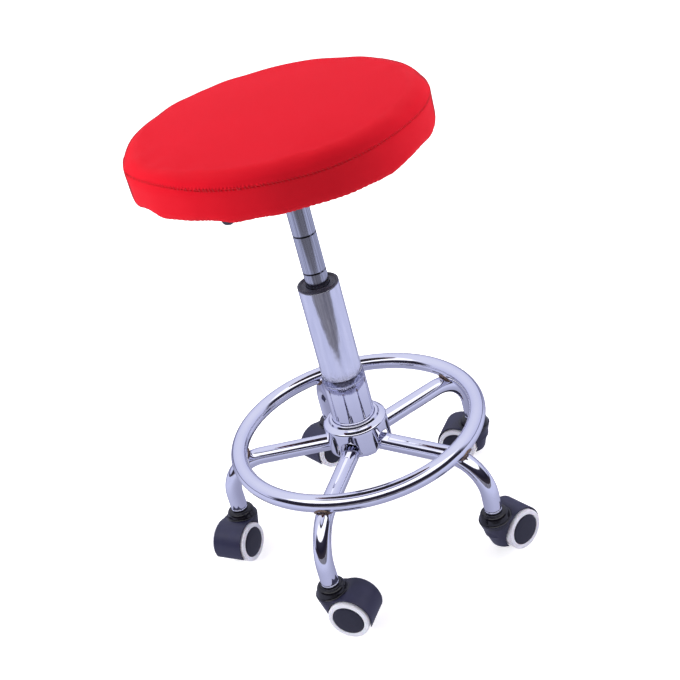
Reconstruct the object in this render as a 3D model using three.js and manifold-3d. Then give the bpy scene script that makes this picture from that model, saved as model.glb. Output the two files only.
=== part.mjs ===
// Rolling stylist stool: padded seat on a gas lift, five tube legs with a foot ring, twin-wheel casters.
// Millimetres, +Z up. The origin is on the floor under the gas lift, and +X runs along the first leg.
import * as THREE from "three";
import { mergeVertices } from "three/addons/utils/BufferGeometryUtils.js";
import Module from "manifold-3d";

const wasm = await Module();
wasm.setup();

// ---------- driving dimensions ----------
const GAP = 0.3; // clearance between pieces that touch on the real stool
const ROUND = 20; // facets of a medium turned piece

const SEAT = { radius: 172.6, bottom: 521, top: 570.7, edge: 16, cloth: 1.5, wrapRadius: 150 };
const BOARD = { radius: 160, bottom: 522.8, thickness: 12 };
const PLATE = { half: 75, thickness: 3, top: 522.5, boltAt: 60 };
const BOLT = { shank: 3, hole: 3.4, headRadius: 6.2, headHeight: 3.4, length: 15 };
const HOUSING = { halfWidth: 22, inner: -22, outer: 34, bottom: 487, wall: 2.5 };
const SOCKET = { radius: 17.5, bottom: 484, top: 505 };

const PRESSURE_TUBE = { radius: 14, bore: 12.3, bottom: 255, top: 503, gland: 10, roof: 4, groove: 0.45 };
const TUBE_GROOVES = [367.6, 417.7];
const BUTTON = { radius: 4, headRadius: 6, top: 508.8, headHeight: 3, length: 22 };
const ROD = { radius: 5, bottom: 113, shoulder: 128.6, piston: 268, pistonHeight: 13, pistonRadius: 11.7 };
const COLUMN = { radius: 25, bore: 23, bottom: 120, floor: 3, top: 351.6, rodHole: 6.5 };
const BUSHING = { flangeTop: 354.8, bore: 14.5, bodyRadius: 22.6, bodyBottom: 292, dish: 1.6 };
const BEARING = { bore: 5.6, radius: 13, height: 5 };
const CLIP = { bore: 4.4, radius: 9, bottom: 117.2, height: 2.4, mouth: 3 };

const HUB = { radius: 26.75, bottom: 118, top: 228.9 };
const COVER = { radius: 40, wall: 2, bottom: 126, rim: 160.5, lipRadius: 30, lipTop: 167 };
const COVER_ARCH = { halfWidth: 13.5, top: 149.5 };
const LEG = { radius: 10.75, bore: 9, height: 132.5, bendRadius: 50, end: 63.5, facets: 12 };
const STEM_SOCKET = { radius: 5.8, top: 92 };
const RING = { pathRadius: 151.8, tube: 10.5, bore: 8, height: 146.2, vent: 2, facets: 35 };
// Each leg's direction about the lift and its reach, and where its caster trails at rest. Angles are from +X.
const LEGS = [
  { number: 1, angle: 0, reach: 176, trail: 122 },
  { number: 2, angle: 71, reach: 181, trail: 184 },
  { number: 3, angle: 144, reach: 175.4, trail: 207.2 },
  { number: 4, angle: 217, reach: 191, trail: 303.2 },
  { number: 5, angle: 288, reach: 180.2, trail: 3 },
];

const WHEEL = { radius: 25, rim: 19.5, inner: 6.2, face: 23.6, capTop: 25.2, bore: 3.3, boreEnd: 20 };
const TRAIL = 22.8; // from the stem's axis back to the axle
const HOOD = { radius: 27.6, cavity: 26.1, halfWidth: 20.5, web: 5.2, bossRadius: 18.5, bossTop: 60.1 };
const HOOD_EDGE = { backAngle: -22, frontU: -32.5, bottom: 10, shoulder: 48, bossFront: 52, slant: 0.34 };
const STEM = { radius: 5.5, bottom: 41, top: 89.5, flangeRadius: 10.6, flangeTop: 63.1, flangeBottom: 60.5 };
const AXLE = { radius: 3, halfLength: 19.5 };

const LEVER = {
  angle: 203.8,
  pivotAt: 22,
  pivotHeight: 513,
  rod: 3.8,
  innerEnd: -4,
  dropTo: 501,
  outerEnd: 112,
};
const KNOB = { radius: 7.5, start: 92, end: 128 };

// ---------- looks ----------
const LOOKS = {
  chrome: { color: 0xc9ccd8, roughness: 0.12, metalness: 1 },
  brushed: { color: 0x9a9ba6, roughness: 0.35, metalness: 1 },
  zinc: { color: 0x8d8f92, roughness: 0.45, metalness: 0.9 },
  blackPaint: { color: 0x1b1b1d, roughness: 0.5, metalness: 0.2 },
  blackPlastic: { color: 0x16161c, roughness: 0.32, metalness: 0 },
  greyTyre: { color: 0xc9c6d2, roughness: 0.6, metalness: 0 },
  redFabric: { color: 0xe01c30, roughness: 0.8, metalness: 0 },
  foam: { color: 0xe8dfc4, roughness: 0.95, metalness: 0 },
  plywood: { color: 0xb98d5c, roughness: 0.75, metalness: 0 },
};

// ---------- geometry helpers ----------
const radians = THREE.MathUtils.degToRad;

// A solid turned about +Z from a profile of [radius, height] points, which closes on itself or on the axis.
function turned(profile, facets = ROUND) {
  const closed = profile[0][0] > 0 || profile.at(-1)[0] > 0 ? [...profile, profile[0]] : profile;
  let area = 0;
  closed.forEach(([r, z], i) => {
    const [rNext, zNext] = closed[(i + 1) % closed.length];
    area += r * zNext - rNext * z;
  });
  const outline = area > 0 ? closed : [...closed].reverse();
  const points = outline.map(([r, z]) => new THREE.Vector2(r, z));
  return new THREE.LatheGeometry(points, facets).rotateX(Math.PI / 2);
}

// The profile of a plain ring or sleeve.
function sleeve(outer, inner, bottom, top) {
  return [[inner, bottom], [outer, bottom], [outer, top], [inner, top]];
}

// The profile of a plain round bar.
function bar(radius, bottom, top) {
  return [[0, bottom], [radius, bottom], [radius, top], [0, top]];
}

// Turns a shape that is turned about +Z so that it is turned about +Y instead.
function acrossY(geometry) {
  return geometry.rotateX(-Math.PI / 2);
}

function boxBetween(low, high) {
  const size = high.map((value, i) => value - low[i]);
  const middle = high.map((value, i) => (value + low[i]) / 2);
  return new THREE.BoxGeometry(...size).translate(...middle);
}

// A round bar bent along a path.
function bentBar(path, radius, facets, steps) {
  const circle = new THREE.Shape();
  for (let i = 0; i < facets; i += 1) {
    const angle = (i / facets) * 2 * Math.PI;
    const point = [radius * Math.cos(angle), radius * Math.sin(angle)];
    if (i === 0) circle.moveTo(...point);
    else circle.lineTo(...point);
  }
  circle.closePath();
  return new THREE.ExtrudeGeometry(circle, { extrudePath: path, steps, curveSegments: facets });
}

// A path through straight runs and one arc, sampled evenly enough for the bend to stay round.
class PointPath extends THREE.Curve {
  constructor(points) {
    super();
    this.points = points;
  }

  getPoint(t, target = new THREE.Vector3()) {
    const place = t * (this.points.length - 1);
    const i = Math.min(Math.floor(place), this.points.length - 2);
    return target.lerpVectors(this.points[i], this.points[i + 1], place - i);
  }

  getPointAt(t, target) {
    return this.getPoint(t, target);
  }

  getTangentAt(t) {
    const step = 1 / (this.points.length - 1);
    const before = this.getPoint(Math.max(t - step, 0));
    const after = this.getPoint(Math.min(t + step, 1));
    return after.sub(before).normalize();
  }
}

function solidOf(geometry) {
  const flat = geometry.index ? geometry.toNonIndexed() : geometry;
  const bare = new THREE.BufferGeometry().setAttribute("position", flat.getAttribute("position"));
  const merged = mergeVertices(bare, 1e-4);
  const made = new wasm.Manifold(
    new wasm.Mesh({
      numProp: 3,
      vertProperties: merged.getAttribute("position").array,
      triVerts: new Uint32Array(merged.index.array),
    }),
  );
  return made;
}

function joined(...geometries) {
  return geometries.map(solidOf).reduce((sum, next) => sum.add(next));
}

function cut(solid, ...geometries) {
  return geometries.map(solidOf).reduce((rest, tool) => rest.subtract(tool), solid);
}

function geometryOf(solid) {
  const mesh = solid.getMesh();
  const geometry = new THREE.BufferGeometry();
  geometry.setAttribute("position", new THREE.BufferAttribute(new Float32Array(mesh.vertProperties), 3));
  geometry.setIndex(new THREE.BufferAttribute(new Uint32Array(mesh.triVerts), 1));
  geometry.computeVertexNormals();
  return geometry;
}

function piece(name, shape, look) {
  const geometry = shape.isBufferGeometry ? shape : geometryOf(shape);
  const mesh = new THREE.Mesh(geometry, new THREE.MeshStandardMaterial(LOOKS[look]));
  mesh.name = name;
  return mesh;
}

// ---------- seat ----------
// Points of a quarter round from the side of the cushion to its flat top.
function roundedEdge(radius, top, edge, steps) {
  return Array.from({ length: steps + 1 }, (_, i) => {
    const angle = (i / steps) * (Math.PI / 2);
    return [radius - edge + edge * Math.cos(angle), top - edge + edge * Math.sin(angle)];
  });
}

function seatCover() {
  const inside = SEAT.radius - SEAT.cloth;
  const outer = [
    [SEAT.wrapRadius, SEAT.bottom],
    [SEAT.radius - 5, SEAT.bottom],
    [SEAT.radius, SEAT.bottom + 6],
    ...roundedEdge(SEAT.radius, SEAT.top, SEAT.edge, 3),
    [0, SEAT.top],
  ];
  const inner = [
    [0, SEAT.top - SEAT.cloth],
    ...roundedEdge(inside, SEAT.top - SEAT.cloth, SEAT.edge - 1, 2).reverse(),
    [inside, SEAT.bottom + 6],
    [inside - 5, SEAT.bottom + SEAT.cloth],
    [SEAT.wrapRadius, SEAT.bottom + SEAT.cloth],
    [SEAT.wrapRadius, SEAT.bottom],
  ];
  const points = [...outer, ...inner].map(([r, z]) => new THREE.Vector2(r, z));
  return piece("seat_cover", new THREE.LatheGeometry(points, 32).rotateX(Math.PI / 2), "redFabric");
}

function seatFoam() {
  const radius = SEAT.radius - SEAT.cloth - GAP;
  const bottom = BOARD.bottom + BOARD.thickness + GAP;
  const top = SEAT.top - SEAT.cloth - GAP;
  const profile = [[0, bottom], [radius, bottom], ...roundedEdge(radius, top, SEAT.edge, 2), [0, top]];
  return piece("seat_foam", turned(profile, 32), "foam");
}

const BOLT_SIDES = [[1, 1], [1, -1], [-1, -1], [-1, 1]];
const BOLT_CORNERS = BOLT_SIDES.map(([x, y]) => [x * PLATE.boltAt, y * PLATE.boltAt]);

function boltHoles(bottom, top) {
  return BOLT_CORNERS.map(([x, y]) => turned(bar(BOLT.hole, bottom, top), 8).translate(x, y, 0));
}

function seatBoard() {
  const top = BOARD.bottom + BOARD.thickness;
  const disc = solidOf(turned(bar(BOARD.radius, BOARD.bottom, top), 32));
  return piece("seat_board", cut(disc, ...boltHoles(BOARD.bottom - 1, top + 1)), "plywood");
}

// The pressed steel plate, its housing for the lever and the tapered socket that holds the lift.
function mountPlate() {
  const { halfWidth, inner, outer, bottom, wall } = HOUSING;
  const under = PLATE.top - PLATE.thickness;
  const plate = boxBetween([-PLATE.half, -PLATE.half, under], [PLATE.half, PLATE.half, PLATE.top]);
  const housing = boxBetween([inner, -halfWidth, bottom], [outer, halfWidth, under + 1]);
  const socket = turned(bar(SOCKET.radius, SOCKET.bottom, SOCKET.top));
  const side = halfWidth - wall;
  const room = boxBetween([inner + wall, -side, bottom + wall], [outer + 1, side, under]);
  const hollow = solidOf(room).subtract(solidOf(socket));
  const bore = turned(bar(PRESSURE_TUBE.radius + GAP, SOCKET.bottom - 1, SOCKET.top + 1));
  const pinHole = acrossY(turned(bar(LEVER.rod - 0.5, -PLATE.half, PLATE.half), 10));
  pinHole.translate(LEVER.pivotAt, 0, LEVER.pivotHeight);
  const body = joined(plate, housing, socket).subtract(hollow);
  return piece("mount_plate", cut(body, bore, pinHole, ...boltHoles(under - 1, PLATE.top + 1)), "blackPaint");
}

function plateBolts() {
  const seatOn = PLATE.top - PLATE.thickness - GAP;
  const profile = [
    [0, seatOn - BOLT.headHeight],
    [BOLT.headRadius * 0.7, seatOn - BOLT.headHeight],
    [BOLT.headRadius, seatOn - 1],
    [BOLT.headRadius, seatOn],
    [BOLT.shank, seatOn],
    [BOLT.shank, seatOn + BOLT.length - 1],
    [BOLT.shank - 0.8, seatOn + BOLT.length],
    [0, seatOn + BOLT.length],
  ];
  return BOLT_CORNERS.map(([x, y], i) => {
    const bolt = piece(`plate_bolt_${i + 1}`, turned(profile, 10), "zinc");
    bolt.position.set(x, y, 0);
    return bolt;
  });
}

// The lever's rod runs from above the release button, over its pivot pin, down and out to the knob.
function leverRod() {
  const { innerEnd, outerEnd, pivotAt, pivotHeight, dropTo, rod } = LEVER;
  const points = [
    new THREE.Vector3(innerEnd, 0, pivotHeight),
    new THREE.Vector3(pivotAt + 6, 0, pivotHeight),
    new THREE.Vector3(pivotAt + 12, 0, pivotHeight - 1),
    new THREE.Vector3(58, 0, dropTo + 1),
    new THREE.Vector3(64, 0, dropTo),
    new THREE.Vector3(outerEnd, 0, dropTo),
  ];
  const pin = acrossY(turned(bar(rod - 0.8, -HOUSING.halfWidth - 2, HOUSING.halfWidth + 2), 10));
  pin.translate(pivotAt, 0, pivotHeight);
  const shaft = bentBar(new PointPath(points), rod, 10, points.length - 1);
  return piece("lever_rod", joined(shaft, pin), "zinc");
}

function leverKnob() {
  const { radius, start, end } = KNOB;
  const along = (z) => z + start;
  const profile = [
    [0, along(end - start)],
    [radius * 0.62, along(end - start)],
    [radius, along(end - start - 5)],
    [radius * 0.86, along(4)],
    [radius * 0.6, along(0)],
    [LEVER.rod + GAP, along(0)],
    [LEVER.rod + GAP, LEVER.outerEnd + GAP],
    [0, LEVER.outerEnd + GAP],
  ];
  const knob = turned(profile, 14).rotateY(Math.PI / 2).translate(0, 0, LEVER.dropTo);
  return piece("lever_knob", knob, "blackPlastic");
}

function seatAssembly() {
  const group = new THREE.Group();
  const mechanism = new THREE.Group();
  mechanism.rotation.z = radians(LEVER.angle);
  mechanism.add(mountPlate(), leverRod(), leverKnob(), ...plateBolts(), seatBoard());
  group.add(seatCover(), seatFoam(), mechanism);
  return group;
}

// ---------- gas lift ----------
function pressureTube() {
  const { radius, bore, bottom, top, gland, roof, groove } = PRESSURE_TUBE;
  const grooves = TUBE_GROOVES.flatMap((z) => [
    [radius, z - 0.8],
    [radius - groove, z - 0.4],
    [radius - groove, z + 0.4],
    [radius, z + 0.8],
  ]);
  const profile = [
    [ROD.radius + GAP, bottom],
    [radius - 1, bottom],
    [radius, bottom + 1],
    ...grooves,
    [radius, top - 2],
    [radius - 1.2, top],
    [BUTTON.radius + GAP, top],
    [BUTTON.radius + GAP, top - roof],
    [bore, top - roof],
    [bore, bottom + gland],
    [ROD.radius + GAP, bottom + gland],
  ];
  return piece("pressure_tube", turned(profile), "brushed");
}

function releaseButton() {
  const { radius, headRadius, top, headHeight, length } = BUTTON;
  const profile = [
    [0, top - length],
    [radius, top - length],
    [radius, top - headHeight],
    [headRadius, top - headHeight],
    [headRadius, top - 1],
    [headRadius - 1, top],
    [0, top],
  ];
  return piece("release_button", turned(profile, 12), "zinc");
}

function pistonRod() {
  const { radius, bottom, shoulder, piston, pistonHeight, pistonRadius } = ROD;
  const groove = CLIP.bore - GAP;
  const profile = [
    [0, bottom],
    [radius - 0.8, bottom],
    [radius, bottom + 0.8],
    [radius, CLIP.bottom - GAP],
    [groove, CLIP.bottom - GAP],
    [groove, CLIP.bottom + CLIP.height + GAP],
    [radius, CLIP.bottom + CLIP.height + GAP],
    [radius, shoulder],
    [8, shoulder],
    [8, shoulder + 2],
    [radius, shoulder + 2],
    [radius, piston],
    [pistonRadius, piston],
    [pistonRadius, piston + pistonHeight],
    [0, piston + pistonHeight],
  ];
  return piece("piston_rod", turned(profile, 14), "chrome");
}

function columnTube() {
  const { radius, bore, bottom, floor, top, rodHole } = COLUMN;
  const profile = [
    [rodHole, bottom],
    [radius - 1, bottom],
    [radius, bottom + 1],
    [radius, top - 1.2],
    [radius - 0.8, top],
    [bore, top],
    [bore, bottom + floor],
    [rodHole, bottom + floor],
  ];
  return piece("column_tube", turned(profile, 28), "chrome");
}

function guideBushing() {
  const { flangeTop, bore, bodyRadius, bodyBottom, dish } = BUSHING;
  const seatOn = COLUMN.top + GAP;
  const profile = [
    [bore, bodyBottom],
    [bodyRadius, bodyBottom],
    [bodyRadius, seatOn],
    [COLUMN.radius, seatOn],
    [COLUMN.radius, flangeTop - 1],
    [COLUMN.radius - 1, flangeTop],
    [COLUMN.radius - 3, flangeTop],
    [bore + 2, flangeTop - dish],
    [bore, flangeTop - dish],
  ];
  return piece("guide_bushing", turned(profile, 24), "blackPlastic");
}

function thrustBearing() {
  const bottom = COLUMN.bottom + COLUMN.floor + GAP;
  const ring = sleeve(BEARING.radius, BEARING.bore, bottom, bottom + BEARING.height);
  return piece("thrust_bearing", turned(ring, 18), "zinc");
}

// A spring clip that snaps sideways into the rod's groove below the column's floor.
function retainingClip() {
  const ring = turned(sleeve(CLIP.radius, CLIP.bore, CLIP.bottom, CLIP.bottom + CLIP.height), 18);
  const mouth = boxBetween([0, -CLIP.mouth, CLIP.bottom - 1], [CLIP.radius + 1, CLIP.mouth, CLIP.bottom + 4]);
  return piece("retaining_clip", cut(joined(ring), mouth), "zinc");
}

// ---------- base ----------
function hubSocketTube() {
  const tube = sleeve(HUB.radius, COLUMN.radius + GAP, HUB.bottom, HUB.top);
  return piece("hub_socket_tube", turned(tube, 28), "chrome");
}

// A pressed chrome skirt round the foot of the socket tube, arched over each spoke.
function hubCover() {
  const { radius, wall, bottom, rim, lipRadius, lipTop } = COVER;
  const skirt = turned(
    [
      [radius - wall, bottom],
      [radius, bottom],
      [radius, rim - 3],
      [radius - 2, rim],
      [lipRadius, lipTop],
      [HUB.radius + GAP, lipTop],
      [HUB.radius + GAP, lipTop - wall],
      [lipRadius - 1, lipTop - wall],
      [radius - wall - 1, rim - wall],
      [radius - wall, rim - wall - 2],
    ],
    25,
  );
  const arches = LEGS.map(({ angle }) => {
    const { halfWidth, top } = COVER_ARCH;
    const outline = new THREE.Shape();
    outline.moveTo(-halfWidth, bottom - 2);
    outline.lineTo(halfWidth, bottom - 2);
    outline.lineTo(halfWidth, top - halfWidth);
    outline.absarc(0, top - halfWidth, halfWidth, 0, Math.PI, false);
    const tool = new THREE.ExtrudeGeometry(outline, { depth: radius, bevelEnabled: false, curveSegments: 5 });
    return tool.rotateX(Math.PI / 2).translate(0, -10, 0).rotateZ(radians(angle + 90));
  });
  return piece("hub_cover", cut(joined(skirt), ...arches), "chrome");
}

function footRing() {
  const circle = new THREE.EllipseCurve(0, 0, RING.pathRadius, RING.pathRadius, 0, 2 * Math.PI);
  const torus = new THREE.TorusGeometry(RING.pathRadius, RING.tube, 10, RING.facets);
  const hollow = new THREE.TorusGeometry(RING.pathRadius, RING.bore, 6, RING.facets);
  const at = circle.getPoint(0.1);
  const vent = turned(bar(RING.vent, -RING.tube - 1, 0), 8).translate(at.x, at.y, 0);
  return piece("foot_ring", cut(joined(torus), hollow, vent), "chrome").translateZ(RING.height);
}

// The leg's centre line in its own XZ plane, from near the lift axis out along the spoke, round and down.
function legPath(reach, start, end, steps) {
  const { height, bendRadius } = LEG;
  const bendStart = reach - bendRadius;
  const points = [new THREE.Vector3(start, 0, height)];
  for (let i = 0; i <= steps; i += 1) {
    const angle = (i / steps) * (Math.PI / 2);
    const x = bendStart + bendRadius * Math.sin(angle);
    points.push(new THREE.Vector3(x, 0, height - bendRadius + bendRadius * Math.cos(angle)));
  }
  points.push(new THREE.Vector3(reach, 0, end));
  return new PointPath(points);
}

function legShape(reach) {
  const steps = 5;
  const segments = steps + 2;
  const tube = bentBar(legPath(reach, HUB.radius - 3, LEG.end, steps), LEG.radius, LEG.facets, segments);
  const wallEnd = STEM_SOCKET.top - 12;
  const hollow = bentBar(legPath(reach, HUB.radius - 5, wallEnd, steps), LEG.bore, 8, segments);
  const stemHole = turned(bar(STEM_SOCKET.radius, LEG.end - 1, STEM_SOCKET.top), 10).translate(reach, 0, 0);
  const hub = turned(bar(HUB.radius + GAP, LEG.end, HUB.top), 28);
  const saddle = new THREE.TorusGeometry(RING.pathRadius, RING.tube + GAP, 10, RING.facets);
  return cut(joined(tube), hollow, stemHole, hub, saddle.translate(0, 0, RING.height));
}

function legs() {
  return LEGS.map(({ number, angle, reach }) => {
    const leg = piece(`leg_${number}`, legShape(reach), "chrome");
    leg.rotation.z = radians(angle);
    return leg;
  });
}

// ---------- casters ----------
// Built with the stem on the Z axis and the wheels trailing along +X; the axle lies along Y.
function hoodShape() {
  const { radius, cavity, halfWidth, web, bossRadius, bossTop } = HOOD;
  const { shoulder, bossFront, slant } = HOOD_EDGE;
  const outline = new THREE.Shape();
  const back = radians(HOOD_EDGE.backAngle);
  const axleZ = WHEEL.radius;
  const topFront = Math.PI * 0.62;
  outline.moveTo(HOOD_EDGE.frontU, HOOD_EDGE.bottom - axleZ);
  outline.lineTo(radius * Math.cos(back), radius * Math.sin(back));
  outline.absarc(0, 0, radius, back, topFront, false);
  outline.lineTo(-TRAIL - halfWidth, shoulder - axleZ);
  outline.closePath();
  const flatCut = { bevelEnabled: false, curveSegments: 8 };
  const side = new THREE.ExtrudeGeometry(outline, { depth: 2 * halfWidth, ...flatCut });
  side.translate(0, 0, -halfWidth).rotateX(Math.PI / 2).translate(TRAIL, 0, axleZ);
  const plan = new THREE.Shape();
  plan.absarc(0, 0, halfWidth, Math.PI / 2, (3 * Math.PI) / 2, false);
  plan.lineTo(TRAIL + radius + 1, -halfWidth);
  plan.lineTo(TRAIL + radius + 1, halfWidth);
  const footprint = new THREE.ExtrudeGeometry(plan, { depth: bossTop, ...flatCut });
  footprint.applyMatrix4(new THREE.Matrix4().makeShear(0, 0, 0, 0, -slant, 0)).translate(slant * shoulder, 0, 0);
  const shell = solidOf(side).intersect(solidOf(footprint));
  const boss = turned(
    [
      [0, 30],
      [bossRadius - 4, 30],
      [bossRadius, bossFront],
      [bossRadius - 2.5, bossTop],
      [0, bossTop],
    ],
    16,
  );
  const wheelRooms = [1, -1].map((side) => {
    const [near, far] = side > 0 ? [web, WHEEL.capTop + 5] : [-WHEEL.capTop - 5, -web];
    return acrossY(turned(bar(cavity, near, far), 18)).translate(TRAIL, 0, axleZ);
  });
  const stemHole = turned(bar(STEM.radius + GAP, STEM.bottom - GAP, bossTop + 1), 10);
  const axleHole = acrossY(turned(bar(AXLE.radius + GAP, -web - 1, web + 1), 10)).translate(TRAIL, 0, axleZ);
  return cut(shell.add(solidOf(boss)), ...wheelRooms, stemHole, axleHole);
}

function stemShape() {
  const { radius, bottom, top, flangeRadius, flangeTop, flangeBottom } = STEM;
  return turned(
    [
      [0, bottom],
      [radius, bottom],
      [radius, flangeBottom],
      [flangeRadius, flangeBottom],
      [flangeRadius, flangeTop],
      [radius, flangeTop],
      [radius, top - 2],
      [radius - 1.5, top],
      [0, top],
    ],
    10,
  );
}

// Wheel shapes are turned about +Y, with the outer face towards +Y.
function wheelCore() {
  const { rim, inner, face, capTop, bore, boreEnd } = WHEEL;
  const radius = rim - GAP;
  const profile = [
    [0, boreEnd],
    [bore, boreEnd],
    [bore, inner - 0.6],
    [radius, inner],
    [radius, face],
    [radius - 5, capTop - 0.4],
    [0, capTop],
  ];
  return acrossY(turned(profile, 12));
}

function wheelTyre() {
  const { radius, rim, inner, face } = WHEEL;
  const profile = [
    [rim, inner],
    [radius, inner],
    [radius, face - 2],
    [radius - 1.6, face],
    [rim, face],
  ];
  return acrossY(turned(profile, 20));
}

function caster({ number, angle, reach, trail }) {
  const unit = new THREE.Group();
  const turn = radians(angle);
  unit.position.set(reach * Math.cos(turn), reach * Math.sin(turn), 0);
  unit.rotation.z = radians(trail);
  const hood = piece(`caster_${number}_hood`, hoodShape(), "blackPlastic");
  const stem = piece(`caster_${number}_stem`, stemShape(), "zinc");
  const pin = acrossY(turned(bar(AXLE.radius, -AXLE.halfLength, AXLE.halfLength), 10));
  const axle = piece(`caster_${number}_axle`, pin, "zinc");
  axle.position.set(TRAIL, 0, WHEEL.radius);
  unit.add(hood, stem, axle);
  for (const [side, facing] of [["left", 0], ["right", Math.PI]]) {
    const wheel = new THREE.Group();
    wheel.position.set(TRAIL, 0, WHEEL.radius);
    wheel.rotation.z = facing;
    wheel.add(piece(`caster_${number}_wheel_${side}`, wheelCore(), "blackPlastic"));
    wheel.add(piece(`caster_${number}_tyre_${side}`, wheelTyre(), "greyTyre"));
    unit.add(wheel);
  }
  return unit;
}

// ---------- assembly ----------
const stool = new THREE.Group();
stool.add(seatAssembly());
stool.add(pressureTube(), releaseButton(), pistonRod(), retainingClip());
stool.add(columnTube(), guideBushing(), thrustBearing());
stool.add(hubSocketTube(), hubCover(), footRing(), ...legs());
stool.add(...LEGS.map(caster));

export default stool;
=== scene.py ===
import math
import random

import bmesh
import bpy
import numpy as np
from mathutils import Matrix, Quaternion, Vector
from mathutils.bvhtree import BVHTree


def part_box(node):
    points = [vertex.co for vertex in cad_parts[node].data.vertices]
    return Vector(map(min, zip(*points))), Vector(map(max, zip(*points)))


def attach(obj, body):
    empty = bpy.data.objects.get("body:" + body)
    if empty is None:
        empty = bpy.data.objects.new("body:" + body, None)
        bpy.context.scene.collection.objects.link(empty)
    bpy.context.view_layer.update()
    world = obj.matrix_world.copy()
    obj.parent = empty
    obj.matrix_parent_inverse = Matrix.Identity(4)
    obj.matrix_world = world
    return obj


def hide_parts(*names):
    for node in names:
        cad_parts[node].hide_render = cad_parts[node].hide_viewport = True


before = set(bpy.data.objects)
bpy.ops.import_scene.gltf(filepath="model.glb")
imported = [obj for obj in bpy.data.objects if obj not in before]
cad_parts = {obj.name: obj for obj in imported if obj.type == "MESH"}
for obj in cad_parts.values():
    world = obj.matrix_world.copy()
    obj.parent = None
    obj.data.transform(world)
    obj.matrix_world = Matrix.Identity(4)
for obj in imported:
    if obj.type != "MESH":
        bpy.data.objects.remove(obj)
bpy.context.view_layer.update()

MM = 0.001
TAU = 2 * math.pi

# ---------- sizes, in millimetres ----------
SEAT = {"shoulder": 22, "crown": 3.2, "cloth": 1.3, "opening": 150, "under": 7}
SEAM = {"height": 554.5, "wander": 1.3, "pitch": 4.1, "depth": 1.3, "puff": 0.9, "thread": 0.24}
SEAM_RISE = {"at": 188, "width": 24, "rise": 8.5}
SEAM_FADES = [{"at": 182, "width": 16, "share": 0.6}, {"at": 322, "width": 24, "share": 0.35}]
LOOSE = {"at": 214, "width": 17, "thread": 0.36}
SAG = {"at": 270, "width": 46, "drop": 3.7, "spread": 1.2}
BULGES = [{"at": 338, "width": 34, "out": 2.8}, {"at": 108, "width": 42, "out": 2.2}]
SNAG = {"width": 6, "lift": 1.6, "beside": 14, "fall": 0.9}
HEM = {"radius": 1.6, "pleats": 148, "depth": 0.7, "scallop": 0.9, "slack": 0.9, "pull": 0.7}
SIM = {"shrink": 4.5, "voxel": 5.0, "frames": 20, "cap": 6.0, "waves": 0.5}
CLOTH = {
    "quality": 6,
    "mass": 0.25,
    "tension_stiffness": 12,
    "compression_stiffness": 12,
    "shear_stiffness": 5,
    "bending_stiffness": 1.5,
    "use_pressure": True,
    "uniform_pressure_force": 4.0,
}
FOAM_GAP = 4.5
COLUMN = {"radius": 25, "bore": 23, "floor": 3, "rod_hole": 6.5}
BUSHING = {"bore": 14.5, "body": 22.6, "dish": 1.4}
TUBE = {"radius": 14, "bore": 12.3, "gland": 10, "roof": 4, "rod_hole": 5.4, "button_hole": 4.4,
        "groove": 0.5, "groove_half": 0.9}
BUTTON = {"pin": 4, "head": 6, "head_height": 3}
TUBE_GROOVES = [371.4, 420.1]
THRUST_BEARING = {"bore": 5.6, "radius": 13, "waist": 12.2}
PISTON_ROD = {"radius": 5, "collar": 8, "piston": 11.7, "ring": 10.6, "clip_groove": 4.1}
CLIP = {"bore": 4.4, "radius": 9, "mouth_deg": 20, "taper": 1.6}
HUB = {"radius": 26.75, "bore": 25.3, "swage": 9.0, "drawn_in": 1.3, "crimps": 60, "crimp": 0.03}
COVER = {"radius": 40, "wall": 1.8, "neck": 27.1, "lip": 30.4, "rim_drop": 6.0}
ARCH = {"half": 12.6, "top": 148.6, "tab_corner": 8.0}
LEG = {"radius": 10.75, "bend_radius": 50, "height": 132.5, "socket": 6.4}
RING = {"path": 151.8, "tube": 10.5, "height": 146.2}
WELD = {"bead": 1.6, "ripple": 0.32, "heat": 5.5}
WHEEL = {"radius": 25, "rim": 19.5, "inner": 6.2, "face": 23.6, "cap": 25.2, "bore": 3.3, "bore_end": 20}
HOOD = {"radius": 27.6, "cavity": 26.1, "half": 20.5, "web": 5.2, "stem_hole": 6.1, "axle_hole": 3.5}
BOSS = {"radius": 18.5, "bottom": 28, "front": 52, "top": 60.1, "polish_from": 41}
HOOD_EDGE = {"back_deg": -22, "over_deg": 112, "front_u": -32.5, "bottom": -15, "shoulder": 48, "slant": 0.34}
HOOD_SKIN = {"voxel": 0.75, "smoothing": 7}
AXLE = {"radius": 3, "groove": 2.6}
STEM = {"radius": 5.5, "groove": 0.7, "flange": 10.6, "flange_top": 63.1, "flange_bottom": 60.5}
PLATE = {"half": 75, "corner": 14, "thickness": 3}
BOLT = {"flange": 6.2, "across": 5.2, "height": 3.4, "shank": 3, "board_hole": 3.4, "plate_hole": 3.6}
HOUSING = {"half": 22, "inner": -22, "outer": 34, "bottom": 487, "wall": 2.5}
SOCKET = {"radius": 17.5, "bore": 14.3, "bottom": 484, "top": 505}
LEVER = {"pivot": 22, "pin_hole": 3.3, "pin": 3.0, "rise": 513, "drop": 501}
LEVER_ROD = {"radius": 3.8, "inner": -4, "outer": 112, "bend": 14, "bend_starts": 31, "bend_ends": 61}
KNOB = {"radius": 7.5, "start": 92, "end": 128, "bore": 4.1, "ribs": 5}

# The photo's camera, fitted to the part: place, aim point, lens and tilt.
CAMERA = {"at": (-657.7, -1186.6, 1017.75), "aim": (6.79, -3.76, 271.9), "lens": 68.13, "roll_deg": -15.08}
CASTERS = range(1, 6)


# ---------- places read from the CAD frame ----------
def low(node):
    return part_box(node)[0] / MM


def high(node):
    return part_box(node)[1] / MM


def centre(node):
    return (low(node) + high(node)) / 2


def bearing(vector):
    return math.atan2(vector.y, vector.x)


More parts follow.
